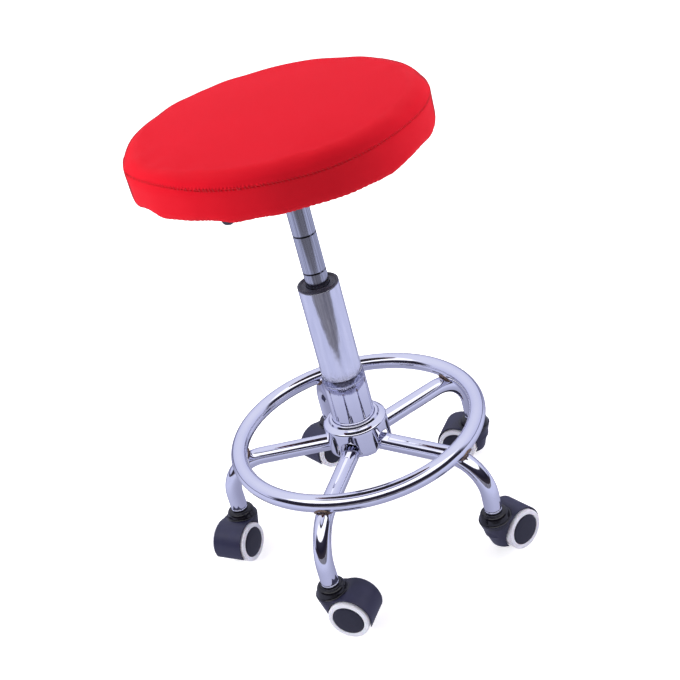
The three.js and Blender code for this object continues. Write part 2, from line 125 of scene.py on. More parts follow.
SEAT_RADIUS = (high("seat_cover").x - low("seat_cover").x) / 2
SEAT_TOP = high("seat_cover").z
SEAT_BOTTOM = low("seat_cover").z
LEVER_ANGLE = bearing(centre("lever_knob"))
LEG_END = {k: centre(f"caster_{k}_stem") for k in CASTERS}
LEG_ANGLE = {k: bearing(LEG_END[k]) for k in CASTERS}
AXLE_AT = {k: centre(f"caster_{k}_axle") for k in CASTERS}
TRAIL_ANGLE = {k: bearing(AXLE_AT[k] - LEG_END[k]) for k in CASTERS}
TRAIL = (AXLE_AT[1] - LEG_END[1]).to_2d().length
REACH = {k: LEG_END[k].to_2d().length for k in CASTERS}


def span(node):
    """The lowest and highest Z of a CAD node."""
    return low(node).z, high(node).z


def around(count):
    """The angles of equal steps round a turn."""
    return [TAU * k / count for k in range(count)]


def turn_z(angle):
    return Matrix.Rotation(angle, 4, "Z")


def at_mm(x, y, z):
    return Matrix.Translation(Vector((x, y, z)))


# ---------- shapes: a part is (vertices, faces) in millimetres ----------
def rounded(corners, steps=5, closed=True):
    """The outline through [r, z, fillet] corners, with each fillet as an arc."""
    outline = []
    count = len(corners)
    for i, (r, z, *fillet) in enumerate(corners):
        here = Vector((r, z))
        if not fillet or (not closed and i in (0, count - 1)):
            outline.append(here)
            continue
        before = Vector(corners[i - 1][:2]) - here
        after = Vector(corners[(i + 1) % count][:2]) - here
        half = before.angle(after) / 2
        cut = min(fillet[0] / math.tan(half), 0.48 * before.length, 0.48 * after.length)
        radius = cut * math.tan(half)
        middle = here + (before.normalized() + after.normalized()).normalized() * (radius / math.sin(half))
        start = here + before.normalized() * cut - middle
        end = here + after.normalized() * cut - middle
        first = math.atan2(start.y, start.x)
        sweep = (math.atan2(end.y, end.x) - first + math.pi) % TAU - math.pi
        for k in range(steps + 1):
            angle = first + sweep * k / steps
            outline.append(middle + radius * Vector((math.cos(angle), math.sin(angle))))
    return outline


def grid(rows, closed=True):
    """A skin over rows of points, each once round; closed also joins the last row to the first."""
    count = len(rows[0])
    vertices = [point for row in rows for point in row]
    faces = []
    for i in range(len(rows) if closed else len(rows) - 1):
        j = (i + 1) % len(rows)
        for k in range(count):
            m = (k + 1) % count
            faces.append((i * count + k, i * count + m, j * count + m, j * count + k))
    return vertices, faces


def circle(radius, z, count):
    return [Vector((radius * math.cos(turn), radius * math.sin(turn), z)) for turn in around(count)]


def turned(corners, segments=96, steps=5):
    """A body turned about Z from an outline of [r, z, fillet] corners."""
    on_axis = corners[0][0] == 0 and corners[-1][0] == 0
    outline = rounded(corners, steps, not on_axis)
    return grid([circle(p.x, p.y, segments) for p in outline], closed=not on_axis)


def rod(radius, bottom, top, segments, *fillet):
    """A solid round bar about Z."""
    return turned([[0, bottom], [radius, bottom, *fillet], [radius, top, *fillet], [0, top]], segments)


def swept(points, radii, sides, closed=False):
    """A round bar along points, with a radius for each point."""
    points = [Vector(p) for p in points]
    count = len(points)
    tangents = []
    for i in range(count):
        if closed:
            tangent = points[(i + 1) % count] - points[i - 1]
        else:
            tangent = points[min(i + 1, count - 1)] - points[max(i - 1, 0)]
        tangents.append(tangent.normalized() if tangent.length > 1e-6 else tangents[-1])
    normals = [tangents[0].orthogonal().normalized()]
    for a, b in zip(tangents, tangents[1:]):
        normals.append(a.rotation_difference(b) @ normals[-1])
    if closed:
        back = tangents[-1].rotation_difference(tangents[0]) @ normals[-1]
        side = tangents[0].cross(normals[0])
        twist = math.atan2(back.dot(side), back.dot(normals[0]))
        normals = [Quaternion(t, -twist * i / count) @ n for i, (t, n) in enumerate(zip(tangents, normals))]
    rows = []
    for point, tangent, normal, radius in zip(points, tangents, normals, radii):
        side = tangent.cross(normal)
        rows.append([point + radius * (normal * math.cos(a) + side * math.sin(a)) for a in around(sides)])
    vertices, faces = grid(rows, closed)
    if not closed:
        faces.append(tuple(range(sides)))
        faces.append(tuple(range((count - 1) * sides, count * sides)))
    return vertices, faces


def prism(outline, bottom, top):
    """An upright prism over a flat outline."""
    count = len(outline)
    vertices = [Vector((x, y, z)) for z in (bottom, top) for x, y in outline]
    faces = [(i, (i + 1) % count, count + (i + 1) % count, count + i) for i in range(count)]
    return vertices, [*faces, tuple(range(count)), tuple(range(count, 2 * count))]


def box_part(lowest, highest):
    (x0, y0, z0), (x1, y1, z1) = lowest, highest
    return prism([(x0, y0), (x1, y0), (x1, y1), (x0, y1)], z0, z1)


def moved(part, matrix):
    vertices, faces = part
    return [matrix @ Vector(v) for v in vertices], faces


def across_y(part):
    """Turns a part that was turned about Z so that it is turned about Y, with its top towards +Y."""
    return moved(part, Matrix.Rotation(-math.pi / 2, 4, "X"))


def piece(name, *parts, sharp_deg=38):
    """One mesh object from parts, smooth except at its sharp edges."""
    vertices, faces = [], []
    for part_vertices, part_faces in parts:
        offset = len(vertices)
        vertices += [Vector(v) * MM for v in part_vertices]
        faces += [tuple(i + offset for i in face) for face in part_faces]
    mesh = bpy.data.meshes.new(name)
    mesh.from_pydata(vertices, [], faces)
    worker = bmesh.new()
    worker.from_mesh(mesh)
    bmesh.ops.remove_doubles(worker, verts=worker.verts, dist=1e-7)
    bmesh.ops.recalc_face_normals(worker, faces=worker.faces)
    worker.to_mesh(mesh)
    worker.free()
    obj = in_scene(name, mesh)
    smooth(obj, sharp_deg)
    return obj


def mark(obj, name, values):
    """Gives each vertex a value that a look can read."""
    attribute = obj.data.attributes.new(name, "FLOAT", "POINT")
    attribute.data.foreach_set("value", values.astype(np.float32))


def cuts(*parts):
    """The operations that take parts away."""
    return [("DIFFERENCE", part) for part in parts]


def vertex_places(obj):
    """The piece's vertices in its own frame, in millimetres."""
    return np.array([tuple(v.co) for v in obj.data.vertices]) / MM


def bevel(width, segments):
    """The finish of edges steeper than 50 degrees."""
    settings = {"width": width * MM, "segments": segments, "limit_method": "ANGLE"}
    return "BEVEL", {**settings, "angle_limit": math.radians(50)}


def smooth(obj, sharp_deg):
    obj.data.shade_smooth()
    obj.data.set_sharp_from_angle(angle=math.radians(sharp_deg))


def modify(obj, kind, **settings):
    modifier = obj.modifiers.new(kind, kind)
    for key, value in settings.items():
        setattr(modifier, key, value)
    return modifier


def bake(obj):
    """Replaces the mesh by what its modifiers make of it."""
    graph = bpy.context.evaluated_depsgraph_get()
    mesh = bpy.data.meshes.new_from_object(obj.evaluated_get(graph))
    obj.modifiers.clear()
    obj.data = mesh
    return obj


def worked(name, part, *operations, finish=(), sharp_deg=38):
    """A piece from a solid and the boolean operations done on it in turn, then its finishing modifiers."""
    obj = piece(name, part)
    tools = []
    for operation, tool_part in operations:
        tool = piece(name + "_tool", tool_part)
        tools.append(tool)
        modify(obj, "BOOLEAN", operation=operation, object=tool, solver="EXACT")
    for kind, settings in finish:
        modify(obj, kind, **settings)
    bake(obj)
    for tool in tools:
        bpy.data.objects.remove(tool)
    smooth(obj, sharp_deg)
    return obj


def show(obj, body, look, *nodes):
    """Gives a piece its look, its CAD body and the CAD nodes it stands for."""
    slot_name, material = look
    obj.data.materials.clear()
    obj.data.materials.append(material)
    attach(obj, body)
    if nodes:
        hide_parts(*nodes)
    return obj


def in_scene(name, data):
    obj = bpy.data.objects.new(name, data)
    bpy.context.scene.collection.objects.link(obj)
    return obj


def copy_of(obj, name):
    """Another piece with the same mesh."""
    return in_scene(name, obj.data)


def placed(matrix):
    """A millimetre placement as an object matrix in metres."""
    scaled = matrix.copy()
    scaled.translation = matrix.translation * MM
    return scaled


# ---------- node graphs ----------
class Graph:
    def __init__(self, tree):
        self.tree = tree
        tree.nodes.clear()

    def add(self, kind, inputs=None, **settings):
        node = self.tree.nodes.new(kind)
        for key, value in settings.items():
            setattr(node, key, value)
        for key, value in (inputs or {}).items():
            self.feed(node.inputs[key], value)
        return node

    def feed(self, socket, value):
        if isinstance(value, bpy.types.NodeSocket):
            self.tree.links.new(value, socket)
        else:
            socket.default_value = value

    def math(self, operation, a, b=0.0, clamp=False):
        return self.add("ShaderNodeMath", {0: a, 1: b}, operation=operation, use_clamp=clamp).outputs[0]

    def times(self, a, b):
        return self.math("MULTIPLY", a, b)

    def parts(self, vector):
        return self.add("ShaderNodeSeparateXYZ", {"Vector": vector}).outputs

    def angle(self, parts):
        return self.math("ARCTAN2", parts["Y"], parts["X"])

    def from_axis(self, parts):
        """How far a point of a wheel is from its axle."""
        squares = [self.math("POWER", parts[axis], 2.0) for axis in ("X", "Z")]
        return self.math("SQRT", self.math("ADD", *squares))

    def along_tube(self, parts, waves, stretch):
        """A noise place on a tube's skin: quick round the tube, slow along it."""
        joined = {"X": self.times(self.angle(parts), waves), "Z": self.times(parts["Z"], stretch)}
        return self.add("ShaderNodeCombineXYZ", joined).outputs[0]

    def either(self, factor, a, b):
        """One shader or the other."""
        return self.add("ShaderNodeMixShader", {0: factor, 1: a, 2: b}).outputs[0]

    def noise(self, vector, scale, detail=3.0, roughness=0.5):
        inputs = {"Vector": vector, "Scale": scale, "Detail": detail, "Roughness": roughness}
        return self.add("ShaderNodeTexNoise", inputs).outputs["Fac"]

    def scaled(self, vector, factors):
        return self.add("ShaderNodeMapping", {"Vector": vector, "Scale": factors}).outputs["Vector"]

    def spread(self, value, low_in, high_in, low_out, high_out, smooth_step=False):
        names = ("Value", "From Min", "From Max", "To Min", "To Max")
        inputs = dict(zip(names, (value, low_in, high_in, low_out, high_out)))
        kind = "SMOOTHSTEP" if smooth_step else "LINEAR"
        return self.add("ShaderNodeMapRange", inputs, interpolation_type=kind).outputs["Result"]

    def mix(self, factor, a, b):
        node = self.add("ShaderNodeMix", data_type="RGBA")
        self.feed(node.inputs[0], factor)
        self.feed(node.inputs[6], a)
        self.feed(node.inputs[7], b)
        return node.outputs[2]

    def bump(self, height, strength, distance, normal=None):
        inputs = {"Height": height, "Strength": strength, "Distance": distance}
        if normal is not None:
            inputs["Normal"] = normal
        return self.add("ShaderNodeBump", inputs).outputs["Normal"]


def rgb(red, green, blue):
    """An sRGB colour of 0 to 255 as a linear node colour."""
    def linear(value):
        value /= 255
        return value / 12.92 if value <= 0.04045 else ((value + 0.055) / 1.055) ** 2.4

    return (linear(red), linear(green), linear(blue), 1.0)


def painted_shade_in_mirrors(graph, colour, share):
    """The colour, nearly black where chrome reflects it, as in the photo: painted shade in reflections,
    standing in for the shade under the seat.
    """
    in_mirror = graph.add("ShaderNodeLightPath").outputs["Is Glossy Ray"]
    return graph.mix(graph.times(in_mirror, share), colour, rgb(24, 18, 30))


def surface(colour, rough, normal, **others):
    return {"Base Color": colour, "Roughness": rough, "Normal": normal, **others}


def look(slot_name, name, build):
    """A material whose Principled inputs come from build(graph, object coordinates)."""
    material = bpy.data.materials.new(name)
    material.use_nodes = True
    graph = Graph(material.node_tree)
    coordinates = graph.add("ShaderNodeTexCoord").outputs["Object"]
    principled = graph.add("ShaderNodeBsdfPrincipled", build(graph, coordinates))
    graph.add("ShaderNodeOutputMaterial", {"Surface": principled.outputs["BSDF"]})
    return slot_name, material


def chrome_inputs(graph, at, dull=0.035):
    """Plated tube: near mirror, a little wavy, finely rub-marked, dulled and browned where a weld heated it.
    """
    heat = graph.add("ShaderNodeAttribute", attribute_name="heat").outputs["Fac"]
    broken = graph.times(heat, graph.spread(graph.noise(at, 420, 4), 0.3, 0.65, 0.35, 1.35))
    stain = graph.math("MINIMUM", broken, 1.0)
    clean = graph.mix(graph.noise(at, 22, 2), rgb(224, 225, 240), rgb(236, 236, 246))
    tinted = graph.mix(graph.spread(stain, 0.05, 0.45, 0, 1), clean, rgb(176, 150, 128))
    colour = graph.mix(graph.spread(stain, 0.4, 0.95, 0, 1), tinted, rgb(92, 66, 54))
    rub = graph.noise(graph.scaled(at, (900, 900, 160)), 1.0, 5, 0.7)
    rough = graph.spread(rub, 0.45, 0.8, dull, dull + 0.085)
    rough = graph.math("ADD", rough, graph.times(stain, 0.3))
    waves = graph.bump(graph.noise(at, 55, 2), 0.09, 0.0016)
    grit = graph.bump(graph.noise(at, 1500, 2), graph.times(stain, 0.35), 0.0003, waves)
    return surface(colour, rough, grit, Metallic=1.0)


def hub_chrome_inputs(graph, at):
    """The socket tube: plated like the rest, pitted where its top was drawn in, with a painted dark
    reflection and painted pale glints on that band.
    """
    inputs = chrome_inputs(graph, at)
    height = graph.parts(at)["Z"]
    top = high("hub_socket_tube").z * MM
    drawn = graph.spread(height, top - HUB["swage"] * MM, top - 0.6 * HUB["swage"] * MM, 0, 1, True)
    pits = graph.noise(at, 330, 3, 0.6)
    # Painted reflection: the drawn-in band is coloured dark lavender, with pale dots on its pits painted as
    # glints.
    painted_dark_band = graph.mix(graph.spread(pits, 0.42, 0.66, 0, 1), rgb(92, 94, 124), rgb(178, 180, 208))
    inputs["Base Color"] = graph.mix(graph.times(drawn, 0.92), inputs["Base Color"], painted_dark_band)
    inputs["Normal"] = graph.bump(pits, graph.times(drawn, 0.3), 0.0006, inputs["Normal"])
    return inputs


def column_chrome_inputs(graph, at):
    """The column's plating, polished by hand, so its reflections run soft and streaky along it."""
    inputs = chrome_inputs(graph, at, 0.1)
    parts = graph.parts(at)
    streaks = graph.noise(graph.along_tube(parts, 2.6, 14.0), 1.0, 3, 0.55)
    milky = graph.spread(streaks, 0.35, 0.7, 0, 0.5)
    inputs["Base Color"] = graph.mix(milky, inputs["Base Color"], rgb(196, 199, 216))
    inputs["Normal"] = graph.bump(streaks, 0.35, 0.0012, inputs["Normal"])
    return inputs


def ground_steel_inputs(graph, at):
    """The pressure tube: ground round, rub-marked lengthwise by the bushing, and coloured darker in its
    grooves.
    """
    parts = graph.parts(at)
    streak_at = graph.along_tube(parts, 3.2, 1.4)
    streaks = graph.noise(streak_at, 2.6, 4, 0.6)
    rings = graph.noise(graph.scaled(at, (30, 30, 5200)), 1.0, 3)
    clean = graph.mix(graph.spread(streaks, 0.35, 0.65, 0, 1), rgb(150, 151, 163), rgb(202, 205, 218))
    # Colour only: the tube is drawn darker in its grooves, in patches.
    darker_in_grooves = 0.0
    for z in TUBE_GROOVES:
        away = graph.math("ABSOLUTE", graph.math("SUBTRACT", parts["Z"], z * MM))
        near = graph.spread(away, TUBE["groove_half"] * MM, TUBE["groove_half"] * 1.5 * MM, 1, 0, True)
        darker_in_grooves = graph.math("MAXIMUM", near, darker_in_grooves)
    patchy = graph.spread(graph.noise(streak_at, 1.3, 2), 0.35, 0.5, 0.35, 0.95)
    colour = graph.mix(graph.times(darker_in_grooves, patchy), clean, rgb(34, 28, 38))
    rough = graph.spread(rings, 0.3, 0.7, 0.17, 0.26)
    return surface(colour, rough, graph.bump(rings, 0.05, 0.0002), Metallic=1.0, Anisotropic=0.35)


def zinc_inputs(graph, at):
    """Zinc-plated steel with its mottled, slightly yellow passivation."""
    spots = graph.noise(at, 260, 5, 0.6)
    colour = graph.mix(spots, rgb(150, 152, 158), rgb(190, 188, 176))
    rough = graph.spread(graph.noise(at, 900, 4), 0.3, 0.7, 0.24, 0.46)
    return surface(colour, rough, graph.bump(spots, 0.1, 0.0002), Metallic=1.0)


def black_steel_inputs(graph, at):
    """Powder-coated steel: fine orange peel."""
    peel = graph.noise(at, 1100, 3)
    colour = graph.mix(graph.noise(at, 60, 3), rgb(24, 24, 26), rgb(36, 36, 38))
    rough = graph.spread(peel, 0.3, 0.7, 0.36, 0.55)
    return surface(colour, rough, graph.bump(peel, 0.35, 0.0003), Metallic=0.1)


def plastic_inputs(graph, at):
    """Hood plastic: satin navy black, polished round the socket boss."""
    polish = graph.add("ShaderNodeAttribute", attribute_name="polish").outputs["Fac"]
    grain = graph.noise(at, 2300, 2)
    flow = graph.noise(graph.scaled(at, (60, 60, 18)), 1.0, 3)
    satin = graph.mix(flow, rgb(33, 33, 56), rgb(45, 45, 74))
    colour = graph.mix(polish, satin, rgb(14, 12, 20))
    satin_rough = graph.spread(flow, 0.3, 0.7, 0.36, 0.46)
    rough = graph.spread(polish, 0, 1, satin_rough, 0.12)
    return surface(colour, rough, graph.bump(grain, graph.spread(polish, 0, 1, 0.16, 0.02), 0.0002))


def cap_inputs(graph, at):
    """Wheel caps: darker and smoother than the hoods, with faint turning marks."""
    parts = graph.parts(at)
    out = graph.from_axis(parts)
    marks = graph.math("SINE", graph.times(out, TAU / 0.0011))
    colour = graph.mix(graph.noise(at, 240, 4, 0.6), rgb(22, 22, 38), rgb(34, 34, 54))
    rough = graph.spread(graph.noise(at, 1400, 3), 0.3, 0.7, 0.34, 0.5)
    return surface(colour, rough, graph.bump(marks, 0.05, 0.0002))


def collar_inputs(graph, at):
    """Moulded black collar, greasy, with pale specks painted on as glints."""
    grain = graph.noise(at, 1300, 3, 0.6)
    # Painted glints: pale lilac specks in the colour, all over the collar.
    painted_glints = graph.spread(graph.noise(at, 2100, 2), 0.6, 0.7, 0, 0.8)
    base = graph.mix(graph.noise(at, 90, 3), rgb(32, 30, 43), rgb(54, 52, 68))
    colour = graph.mix(painted_glints, base, rgb(120, 112, 132))
    rough = graph.spread(grain, 0.3, 0.7, 0.2, 0.36)
    return surface(colour, rough, graph.bump(grain, 0.45, 0.0004))


def tyre_inputs(graph, at):
    """Pale grey urethane, greyer and scuffed towards the tread."""
    parts = graph.parts(at)
    out = graph.from_axis(parts)
    tread = graph.spread(out, 0.0236, 0.025, 0, 1)
    scuffs = graph.noise(at, 380, 5, 0.65)
    worn = graph.times(tread, graph.spread(scuffs, 0.35, 0.65, 0.1, 0.7))
    pale = graph.mix(graph.noise(at, 120, 3), rgb(240, 241, 254), rgb(249, 249, 255))
    colour = graph.mix(worn, pale, rgb(200, 196, 206))
    rough = graph.spread(scuffs, 0.3, 0.7, 0.42, 0.6)
    depth = {"Subsurface Weight": 0.05, "Subsurface Scale": 0.001}
    return surface(colour, rough, graph.bump(scuffs, 0.12, 0.0003), **depth)


def fabric_inputs(graph, at):
    """Red stretch knit: fine wales and courses, a soft nap, and slow changes of tone."""
    parts = graph.parts(at)
    arc = graph.times(graph.angle(parts), SEAT_RADIUS * MM)
    upright = graph.add("ShaderNodeNewGeometry").outputs["Normal"]
    facing_up = graph.parts(upright)["Z"]
    on_top = graph.spread(facing_up, 0.55, 0.75, 0, 1, True)

    def knit(a, b):
        wale = graph.times(a, TAU / 0.00105)
        lean = graph.times(graph.math("SINE", wale), 1.3)
        course = graph.math("SINE", graph.math("ADD", graph.times(b, TAU / 0.0009), lean))
        ridge = graph.math("ABSOLUTE", graph.math("SINE", graph.times(wale, 0.5)))
        return graph.times(graph.math("ADD", course, 1.0), ridge)

    top_knit = knit(parts["X"], parts["Y"])
    side_knit = knit(arc, parts["Z"])
    height = graph.spread(on_top, 0, 1, side_knit, top_knit)
    fuzz = graph.noise(at, 2600, 3, 0.6)
    tone = graph.noise(at, 9, 3)
    base = graph.mix(tone, rgb(229, 5, 31), rgb(238, 14, 41))
    # Painted shade: the knit's valleys are coloured darker.
    valleys_shaded = graph.mix(graph.spread(height, 0, 0.8, 0.35, 0), base, rgb(170, 4, 18))
    fuzzy = graph.mix(graph.spread(fuzz, 0.5, 0.8, 0, 0.16), valleys_shaded, rgb(255, 86, 98))
    # Painted shade: a dark outline where the cover is seen edge-on, on its side and over its rim.
    grazing = graph.add("ShaderNodeLayerWeight", {"Blend": 0.5}).outputs["Facing"]
    thin = graph.spread(grazing, 0.8, 0.97, 0, 0.8, True)
    over_rim = graph.spread(grazing, 0.78, 0.94, 0, 0.7, True)
    outline_shaded = graph.mix(graph.spread(on_top, 0, 1, thin, over_rim), fuzzy, rgb(120, 4, 16))
    # Painted shade in reflections: chrome sees the cover nearly black.
    colour = painted_shade_in_mirrors(graph, outline_shaded, 0.9)
    knitted = graph.bump(height, 0.28, 0.0003)
    normal = graph.bump(fuzz, 0.12, 0.0003, knitted)
    rough = graph.spread(fuzz, 0.3, 0.7, 0.68, 0.86)
    sheen = {"Sheen Weight": 0.1, "Sheen Roughness": 0.35, "Sheen Tint": rgb(255, 150, 170)}
    return surface(colour, rough, normal, **sheen, **{"Specular IOR Level": 0.22})


def thread_inputs(graph, at):
    """Overlock thread, a shade darker than the cloth."""
    twist = graph.noise(at, 5200, 3)
    colour = graph.mix(twist, rgb(172, 8, 24), rgb(222, 30, 44))
    return surface(colour, 0.7, graph.bump(twist, 0.4, 0.0002), **{"Sheen Weight": 0.3})


def foam_inputs(graph, at):
    """Cut foam with open cells."""
    cells = graph.add("ShaderNodeTexVoronoi", {"Vector": at, "Scale": 1400}).outputs["Distance"]
    colour = graph.mix(graph.noise(at, 40, 3), rgb(232, 222, 190), rgb(242, 234, 206))
    return surface(colour, 0.95, graph.bump(cells, 0.6, 0.0006))


def plywood_inputs(graph, at):
    """Rotary-cut face veneer with long grain, darker in the pores."""
    grain = graph.noise(graph.scaled(at, (26, 420, 420)), 1.0, 6, 0.65)
    figure = graph.noise(graph.scaled(at, (5, 34, 34)), 1.0, 4)
    pale = graph.mix(figure, rgb(206, 168, 118), rgb(184, 142, 92))
    veneer = graph.mix(graph.spread(grain, 0.52, 0.75, 0, 0.7), pale, rgb(128, 88, 52))
    rough = graph.spread(grain, 0.3, 0.7, 0.6, 0.8)
    # Painted shade in reflections: chrome sees the board nearly black.
    return surface(painted_shade_in_mirrors(graph, veneer, 0.97), rough, graph.bump(grain, 0.25, 0.0004))


def weld_inputs(graph, at):
    """A bead under thin plating: dark, browned by heat, rough."""
    scale = graph.noise(at, 700, 5, 0.65)
    colour = graph.mix(graph.spread(scale, 0.35, 0.65, 0, 1), rgb(84, 60, 50), rgb(168, 144, 128))
    rough = graph.spread(scale, 0.3, 0.7, 0.5, 0.3)
    return surface(colour, rough, graph.bump(scale, 0.5, 0.0005), Metallic=0.85)


CHROME = look("chrome", "chrome", chrome_inputs)
HUB_CHROME = look("chrome", "hub_chrome", hub_chrome_inputs)
COLUMN_CHROME = look("chrome", "column_chrome", column_chrome_inputs)
GROUND_STEEL = look("brushed_tube", "ground_steel", ground_steel_inputs)
ZINC = look("zinc_steel", "zinc_steel", zinc_inputs)
BLACK_STEEL = look("black_steel", "black_steel", black_steel_inputs)
PLASTIC = look("black_plastic", "hood_plastic", plastic_inputs)
COLLAR = look("black_plastic", "collar_plastic", collar_inputs)
CAP = look("black_plastic", "cap_plastic", cap_inputs)
TYRE = look("tyre_grey", "tyre_urethane", tyre_inputs)
FABRIC = look("red_cover", "red_knit", fabric_inputs)
THREAD = look("red_cover", "red_thread", thread_inputs)
FOAM = look("foam", "cut_foam", foam_inputs)
PLYWOOD = look("plywood", "plywood", plywood_inputs)
WELDED = look("chrome", "weld_bead", weld_inputs)


# ---------- seat cushion ----------
def wander(seed, waves, low_count, high_count):
    """A smooth random curve of the angle, about -1 to 1, from whole numbers of waves per turn."""
    source = random.Random(seed)

    def term():
        return source.randint(low_count, high_count), source.uniform(0, TAU), source.uniform(0.5, 1)

    terms = [term() for _ in range(waves)]
    scale = sum(weight for *_, weight in terms) ** 0.5

    def curve(angle):
        return sum(weight * np.sin(count * angle + phase) for count, phase, weight in terms) / scale

    return curve


# The cushion is read from a circle inside its rim, the spine: outwards round the edge, down inside it.
SPINE_R = SEAT["opening"]
SPINE_Z = SEAT_BOTTOM + 25
TOP_RINGS = 34
EDGE_STEPS = 72


def pad_outline(shrink, crown):
    """The pad's outline from the middle of its top to the middle of its underside."""
    radius = SEAT_RADIUS - shrink
    top = SEAT_TOP - shrink
    dome = [[0, top + crown]]
    for share in (0.25, 0.5, 0.75):
        dome.append([radius * share * 0.92, top + crown * (1 - share**2.4)])
    return [*dome, [radius, top, SEAT["shoulder"]], [radius, SEAT_BOTTOM, SEAT["under"]], [0, SEAT_BOTTOM]]


def swollen_pad():
    """The pad under its stretched cover: the mesh that the cloth simulation leaves."""
    pad = piece("pad_simulated", turned(pad_outline(SIM["shrink"], 0), segments=128, steps=10))
    modify(pad, "REMESH", mode="VOXEL", voxel_size=SIM["voxel"] * MM)
    bake(pad)
    start = np.array([v.co for v in pad.data.vertices])
    reach = np.hypot(start[:, 0], start[:, 1])
    held = np.flatnonzero((start[:, 2] < (SEAT_BOTTOM + 2) * MM) & (reach < (SEAT["opening"] + 6) * MM))
    pins = pad.vertex_groups.new(name="held")
    pins.add([int(i) for i in held], 1.0, "REPLACE")
    cloth = modify(pad, "CLOTH").settings
    for key, value in CLOTH.items():
        setattr(cloth, key, value)
    cloth.effector_weights.gravity = 0
    cloth.vertex_group_mass = "held"
    for number in range(1, SIM["frames"] + 1):
        bpy.context.scene.frame_set(number)
    bake(pad)
    swollen = np.array([v.co for v in pad.data.vertices])
    travel = swollen - start
    length = np.linalg.norm(travel, axis=1, keepdims=True)
    capped = start + travel * np.minimum(1, SIM["cap"] * MM / np.maximum(length, 1e-9))
    pad.data.vertices.foreach_set("co", capped.ravel())
    modify(pad, "SMOOTH", factor=0.5, iterations=3)
    modify(pad, "SUBSURF", levels=1, render_levels=1)
    bake(pad)
    bpy.context.scene.frame_set(1)
    return pad


def plain_pad():
    return piece("pad_plain", turned(pad_outline(0.6, SEAT["crown"]), segments=192, steps=12))


def cast(tree, origin, direction, fallback):
    hit, _, _, distance = tree.ray_cast(Vector(origin) * MM, Vector(direction))
    return distance / MM if hit is not None else fallback


def pad_readings(pad, count=180):
    """How far the pad's skin is from the spine circle by angle and tilt, and its top's height by ring."""
    tree = BVHTree.FromPolygons([v.co for v in pad.data.vertices], [p.vertices for p in pad.data.polygons])
    edge = np.zeros((count, EDGE_STEPS + 1))
    top = np.zeros((count, TOP_RINGS + 1))
    above = SEAT_TOP + 40
    for i in range(count):
        angle = TAU * i / count
        c, s = math.cos(angle), math.sin(angle)
        for k in range(EDGE_STEPS + 1):
            tilt = math.pi / 2 - math.pi * k / EDGE_STEPS
            way = (c * math.cos(tilt), s * math.cos(tilt), math.sin(tilt))
            edge[i, k] = cast(tree, (SPINE_R * c, SPINE_R * s, SPINE_Z), way, 25)
        for k in range(TOP_RINGS + 1):
            r = SPINE_R * k / TOP_RINGS
            top[i, k] = above - cast(tree, (r * c, r * s, above), (0, 0, -1), 40)
    bpy.data.objects.remove(pad)
    return evened(edge, 3), evened(top, 4)


def evened(readings, rounds):
    """Readings with the facets of the simulated mesh smoothed away."""
    for _ in range(rounds):
        readings = (np.roll(readings, 1, 0) + 2 * readings + np.roll(readings, -1, 0)) / 4
        middle = (readings[:, :-2] + 2 * readings[:, 1:-1] + readings[:, 2:]) / 4
        readings = np.concatenate([readings[:, :1], middle, readings[:, -1:]], axis=1)
    return readings


def more_angles(readings, count):
    """Readings at more angles, by the Fourier series round the turn."""
    spectrum = np.fft.rfft(readings, axis=0)
    padded = np.zeros((count // 2 + 1, readings.shape[1]), complex)
    padded[: len(spectrum)] = spectrum
    return np.fft.irfft(padded, n=count, axis=0) * (count / len(readings))


def bell(angles, at_deg, width_deg):
    """A smooth bump of the angle, 1 at its middle."""
    away = (np.degrees(angles) - at_deg + 180) % 360 - 180
    return np.exp(-((away / width_deg) ** 2))


COLUMNS = 1080
ANGLES = TAU * np.arange(COLUMNS) / COLUMNS
SEAM_STEPS = (0.25, 0.5, 0.9, 1.3, 1.8, 2.4, 3.2, 4.2)
ROWS_OVER_SEAM = 14
ROWS_UNDER_SEAM = 32
STITCH_STEP = 1.8


def near_to(place, widened=1.0):
    """A bump round the cushion, 1 in the middle of the place."""
    return bell(ANGLES, place["at"], widened * place["width"])


def seam_height():
    """The seam wanders, and climbs where the cover sits askew."""
    climb = SEAM_RISE["rise"] * near_to(SEAM_RISE)
    return SEAM["height"] + climb + SEAM["wander"] * wander(3, 5, 1, 6)(ANGLES)


def pad_skin():
    """The pad's readings at every column, fitted to the CAD's radius and top."""
    edge, top = pad_readings(plain_pad())
    # Only the waves of the stretched pad are taken: stretching alone rounds the measured outline off.
    stretched_edge, stretched_top = pad_readings(swollen_pad())
    edge = edge + SIM["waves"] * (stretched_edge - stretched_edge.mean(axis=0))
    top = top + SIM["waves"] * (stretched_top - stretched_top.mean(axis=0))
    from_top = np.linspace(0, math.pi, EDGE_STEPS + 1)
    widest = SPINE_R + edge[:, EDGE_STEPS // 2].max()
    edge = more_angles(edge, COLUMNS) + (SEAT_RADIUS - widest) * np.sin(from_top)
    top = more_angles(top, COLUMNS)
    lift = SEAT_TOP + SEAT["crown"] - top.max()
    rim_lift = 0.7
    top = top + lift * np.linspace(1, rim_lift, TOP_RINGS + 1)
    return edge + rim_lift * lift * np.maximum(0, np.cos(from_top)), top


def tilt_rows(seam_tilt, arm):
    """The tilt of each row round the edge, and its step above the seam if it is near it."""
    steps = [*reversed(SEAM_STEPS), 0, *[-step for step in SEAM_STEPS]]
    reach = steps[0] / arm
    for share in np.linspace(0, 1, ROWS_OVER_SEAM + 1)[1:-1]:
        yield math.pi / 2 + share * (seam_tilt + reach - math.pi / 2), None
    for step in steps:
        yield seam_tilt + step / arm, step
    for share in np.linspace(0, 1, ROWS_UNDER_SEAM + 1)[1:]:
        yield seam_tilt - reach + share * (-math.pi / 2 - seam_tilt + reach), None


